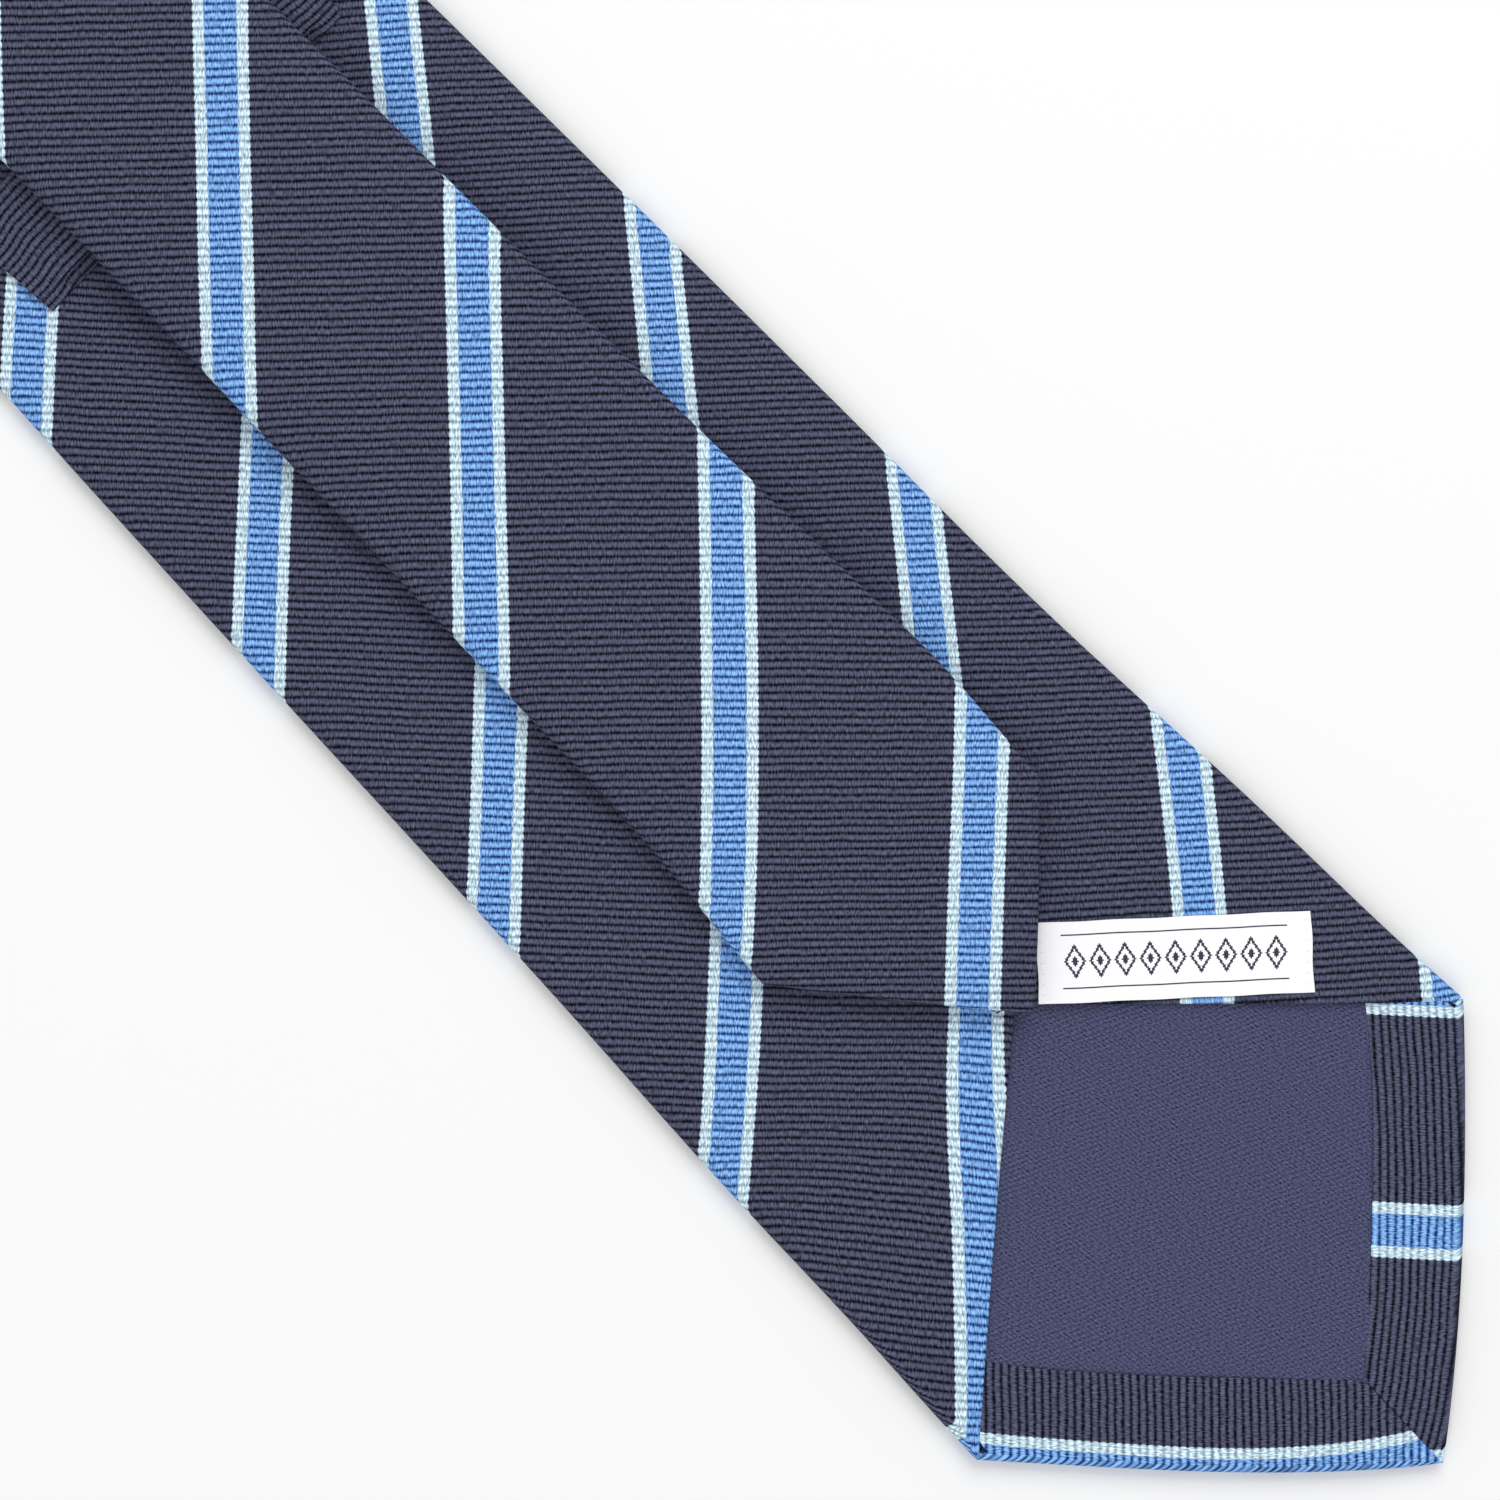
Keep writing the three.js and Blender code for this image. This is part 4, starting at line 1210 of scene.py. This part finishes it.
def ribbed_silk(name, striped):
    """Navy rep with stripes, or plain navy rep whose ribs run along the piece."""
    finish = Finish(name, 0.6, specular=0.05)
    u, v = finish.cloth()
    if striped:
        along_grain, across_grain = math.sin(GRAIN), math.cos(GRAIN)
        along_ribs = finish.minus(finish.times(u, along_grain), finish.times(v, across_grain))
        across_ribs = finish.plus(finish.times(u, across_grain), finish.times(v, along_grain))
    else:
        along_ribs, across_ribs = u, v
    round_rib, yarns = rep(finish, across_ribs, along_ribs)
    tops, groove_shade = NAVY, NAVY_GROOVE_SHADE
    if striped:
        drift = finish.noise(finish.join(across_ribs, along_ribs), 25 * MM, 0.0)
        start = STRIPE_AT - 0.5 * STRIPE_REPEAT
        turns = finish.over(finish.minus(along_ribs, start), STRIPE_REPEAT)
        from_stripe = finish.size(finish.minus(finish.part(turns), 0.5))
        reach = finish.times(from_stripe, STRIPE_REPEAT)
        reach = finish.scaled(drift, 0.3 * MM, finish.minus(reach, 0.15 * MM))
        reach = finish.scaled(round_rib, -0.16 * MM, reach)
        reach = finish.scaled(yarns, 0.22 * MM, reach)
        pale = finish.scaled(finish.minus(PALE_HALF, reach), 1 / EDGE_BLUR, 0.5, clamp=True)
        blue = finish.scaled(finish.minus(BLUE_HALF, reach), 1 / EDGE_BLUR, 0.5, clamp=True)
        tops = finish.mix(blue, finish.mix(pale, NAVY, PALE), BLUE)
        groove_shade = finish.mix(blue, finish.mix(pale, NAVY_GROOVE_SHADE, PALE_GROOVE_SHADE), BLUE_GROOVE_SHADE)
    # Painted light and shade: over the round of each rib the colour runs from the painted shade between the
    # ribs up to the lit rib top, broken up by the yarns.
    crown_light = finish.maths("POWER", round_rib, 1.6)
    lit = finish.scaled(finish.minus(yarns, 0.5), 1.3, crown_light, clamp=True)
    colour = finish.mix(lit, groove_shade, tops)
    colour = finish.shade(colour, finish.scaled(yarns, 2.0, 0.03))
    height = finish.scaled(yarns, 0.22, finish.maths("POWER", round_rib, 0.6))
    return finish.finish(colour, height, 0.14 * MM, 0.7)


striped_silk = ribbed_silk("striped_rep_silk", True)
keeper_silk = ribbed_silk("plain_rep_silk", False)


# %% [markdown]
# ## Satin, wool, label and threads
# Satin shows a very fine slanting twill and a soft gloss. Wool is a matted felt with no direction. The
# label is a tight white weave, with its motif woven in navy. Thread is drawn as fine turns along it.

# %% Satin lining
TWILL = 0.66 * MM
BEADS = 0.52 * MM


def satin():
    """Slanting twill crossed by finer beads, stronger in some patches than in others."""
    finish = Finish("navy_satin", 0.45, specular=0.15)
    u, v = finish.cloth()
    lines = finish.minus(finish.times(u, 0.912), finish.times(v, 0.410))
    crossing = finish.minus(finish.times(v, 0.991), finish.times(u, 0.136))
    wobble = finish.noise(finish.join(u, v), 3 * MM, 1.0)
    patches = finish.noise(finish.join(u, v), 6 * MM, 1.0)
    twill = finish.wave(finish.scaled(lines, math.tau / TWILL, finish.times(wobble, 6.0)))
    beads = finish.wave(finish.scaled(crossing, math.tau / BEADS, finish.times(wobble, 2.0)))
    floats = finish.noise(finish.join(finish.times(lines, 1.5), crossing), 0.3 * MM, 2.0)
    twill_share = finish.times(patches, 0.36)
    shade = finish.scaled(twill, twill_share, finish.scaled(beads, 0.20, 0.30))
    shade = finish.scaled(floats, 3.4, finish.minus(shade, 1.05))
    height = finish.scaled(twill, 0.3, floats)
    return finish.finish(finish.shade(dye(72, 74, 106), shade), height, 0.04 * MM, 0.6)


# %% Wool interlining
def wool():
    """Undyed felt: lumps, and fibres on them."""
    finish = Finish("natural_wool_felt", 0.9, sheen=0.3, specular=0.2)
    where = finish.object_place()
    lumps = finish.noise(where, 1.6 * MM, 4.0)
    fibres = finish.noise(where, 0.3 * MM, 4.0)
    shade = finish.scaled(lumps, 0.3, finish.scaled(fibres, 0.3, 0.7))
    return finish.finish(finish.shade(dye(226, 219, 200), shade), fibres, 0.25 * MM, 0.8)


# %% Woven label
def label_weave():
    """White ribbon with a row of navy lozenges, dots between them, and a fine line along each edge."""
    finish = Finish("white_woven_label", 0.6, sheen=0.1, specular=0.3)
    u, v = finish.cloth()
    step = 3.4 * MM
    thread_size = 0.16 * MM
    warp = finish.wave(finish.times(u, math.tau / thread_size))
    weft = finish.wave(finish.times(v, math.tau / (1.3 * thread_size)))
    weave = finish.times(warp, weft)
    stepped_u = finish.maths("SNAP", u, 0.2 * MM)
    stepped_v = finish.maths("SNAP", v, 0.2 * MM)
    turns = finish.part(finish.plus(finish.over(stepped_u, step), 0.5))
    across_cell = finish.times(finish.size(finish.minus(turns, 0.5)), step)
    up = finish.size(stepped_v)
    lozenge = finish.scaled(across_cell, 1.55, up)
    ring = finish.below(finish.size(finish.minus(lozenge, 2.0 * MM)), 0.32 * MM)
    heart = finish.below(lozenge, 0.75 * MM)
    line = finish.below(finish.size(finish.minus(up, 3.6 * MM)), 0.13 * MM)
    inside = finish.below(finish.size(u), 4.5 * step)
    motif = finish.times(inside, finish.maths("MAXIMUM", line, finish.maths("MAXIMUM", ring, heart)))
    fuzz = finish.noise(finish.join(u, v), 0.3 * MM)
    shade = finish.scaled(weave, 0.03, finish.scaled(fuzz, 0.08, 1.0))
    colour = finish.mix(motif, dye(253, 252, 254), dye(48, 50, 72))
    return finish.finish(finish.shade(colour, shade), weave, 0.03 * MM, 0.5)


# %% Threads
def thread_finish(name, colour):
    """Twisted thread: turns too fine to model, drawn as slanting bands with a soft gloss."""
    finish = Finish(name, 0.5, sheen=0.1, specular=0.4)
    where = finish.object_place()
    parts = finish.tree.nodes.new("ShaderNodeSeparateXYZ")
    finish.tree.links.new(where, parts.inputs[0])
    x, y, z = parts.outputs
    turns = finish.wave(finish.times(finish.plus(x, finish.plus(y, z)), math.tau / (0.22 * MM)))
    shade = finish.scaled(turns, 0.12, finish.scaled(finish.noise(where, 1 * MM), 0.3, 0.82))
    return finish.finish(finish.shade(colour, shade), turns, 0.03 * MM, 0.6)


satin_lining = satin()
wool_felt = wool()
white_weave = label_weave()
navy_thread = thread_finish("navy_sewing_thread", dye(46, 48, 70))
white_thread = thread_finish("white_label_thread", dye(245, 244, 248))

# %% [markdown]
# ## Finishing the pieces
# Every piece takes its finish, and the CAD nodes that it stands for are hidden. The wide end's silk and the
# small pieces ride on the blade, tail or tail-end body. The neck and narrow-end silk and the wool, which
# cross joints, ride on no body.

DRESSED = [
    (blade_silk, striped_silk, "striped_silk", ["blade_shell"]),
    (neck_silk_lower, striped_silk, "striped_silk", ["neck_shell_blade_side"]),
    (neck_silk_upper, striped_silk, "striped_silk", ["neck_shell_fold", "neck_shell_tail_side"]),
    (tail_silk, striped_silk, "striped_silk", ["tail_shell_rear", "tail_shell_front"]),
    (keeper_band, keeper_silk, "keeper_silk", ["keeper_loop"]),
    (blade_lining, satin_lining, "tipping_satin", ["blade_tipping"]),
    (tail_lining, satin_lining, "tipping_satin", ["tail_tipping"]),
    (wool_lower, wool_felt, "interlining_wool", ["interlining_blade"]),
    (wool_upper, wool_felt, "interlining_wool", ["interlining_fold", "interlining_tail"]),
    (wool_tail, wool_felt, "interlining_wool", ["interlining_tail_end"]),
    (label, white_weave, "woven_label", ["name_label"]),
    (blade_slip, navy_thread, "sewing_thread", ["blade_slip_stitch"]),
    (tail_slip, navy_thread, "sewing_thread", ["tail_slip_stitch"]),
    (tail_end_slip, navy_thread, "sewing_thread", ["tail_end_slip_stitch"]),
    (blade_tack, navy_thread, "sewing_thread", ["blade_bar_tack"]),
    (tail_tack, navy_thread, "sewing_thread", ["tail_bar_tack"]),
    (blade_seam, navy_thread, "sewing_thread", ["blade_seam_thread"]),
    (tail_seam, navy_thread, "sewing_thread", ["tail_seam_thread"]),
    (keeper_left, navy_thread, "sewing_thread", ["keeper_stitch_left"]),
    (keeper_right, navy_thread, "sewing_thread", ["keeper_stitch_right"]),
    (label_left, white_thread, "label_thread", ["label_stitch_left"]),
    (label_right, white_thread, "label_thread", ["label_stitch_right"]),
]
for piece, finish, slot, nodes in DRESSED:
    piece.data.materials.clear()
    piece.data.materials.append(finish)
    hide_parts(*nodes)

for piece in (blade_silk, keeper_band, blade_lining, label, blade_slip, blade_tack, blade_seam):
    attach(piece, "blade")
for piece in (keeper_left, keeper_right, label_left, label_right):
    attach(piece, "blade")
for piece in (tail_slip, tail_seam):
    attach(piece, "tail")
for piece in (tail_lining, tail_tack, tail_end_slip):
    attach(piece, "tail_end")
print(len(DRESSED), "pieces")
for piece in (neck_silk_lower, wool_lower):
    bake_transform(piece)
for piece in (neck_silk_upper, wool_upper):
    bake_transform(piece)
for piece in (tail_silk, wool_tail):
    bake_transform(piece)

# %% [markdown]

# %% [markdown]
# ## Stage, light and camera
# The tie lies on a plain pale table under large soft lights. The camera looks straight down through a
# long lens, turned so that the tie crosses the picture from corner to corner.

# %% Table and lights
bpy.ops.object.select_all(action="DESELECT")
bpy.ops.mesh.primitive_plane_add(size=6, location=(0, 0, -0.05 * MM))
table = bpy.context.object
table.name = "table_top"
paint = Finish("pale_table", 0.8, specular=0.2)
table.data.materials.append(paint.finish(dye(247, 247, 247)))

CAMERA_OVER = (WIDE_TIP - 134.6 * MM, -0.9 * MM)
VIEW_ACROSS = 202.5 * MM
LENS, SENSOR = 85, 36
bpy.ops.object.camera_add()
camera = bpy.context.object
camera.data.lens = LENS
camera.data.sensor_width = SENSOR
camera.location = (*CAMERA_OVER, VIEW_ACROSS * LENS / SENSOR + 4 * MM)
camera.rotation_euler = (0, 0, math.radians(45.8))
bpy.context.scene.camera = camera
bpy.context.scene.view_settings.view_transform = "Standard"


def soft_light(name, spot, size, power):
    """A square of light that looks at the middle of the picture."""
    bpy.ops.object.light_add(type="AREA", location=spot)
    lamp = bpy.context.object
    lamp.name = name
    lamp.data.shape = "SQUARE"
    lamp.data.size = size
    lamp.data.energy = power
    aim = Vector((*CAMERA_OVER, 0)) - Vector(spot)
    lamp.rotation_euler = aim.to_track_quat("-Z", "Y").to_euler()
    print(name, power, "W")


soft_light("window_light", (CAMERA_OVER[0] - 0.55, 0.75, 0.95), 0.8, 7.2)
soft_light("fill_light", (CAMERA_OVER[0] + 0.6, -0.8, 1.1), 1.2, 3.4)
world = bpy.data.worlds.new("room")
bpy.context.scene.world = world
world.use_nodes = True
background = world.node_tree.nodes["Background"]
background.inputs["Color"].default_value = (1, 1, 1, 1)
background.inputs["Strength"].default_value = 0.69
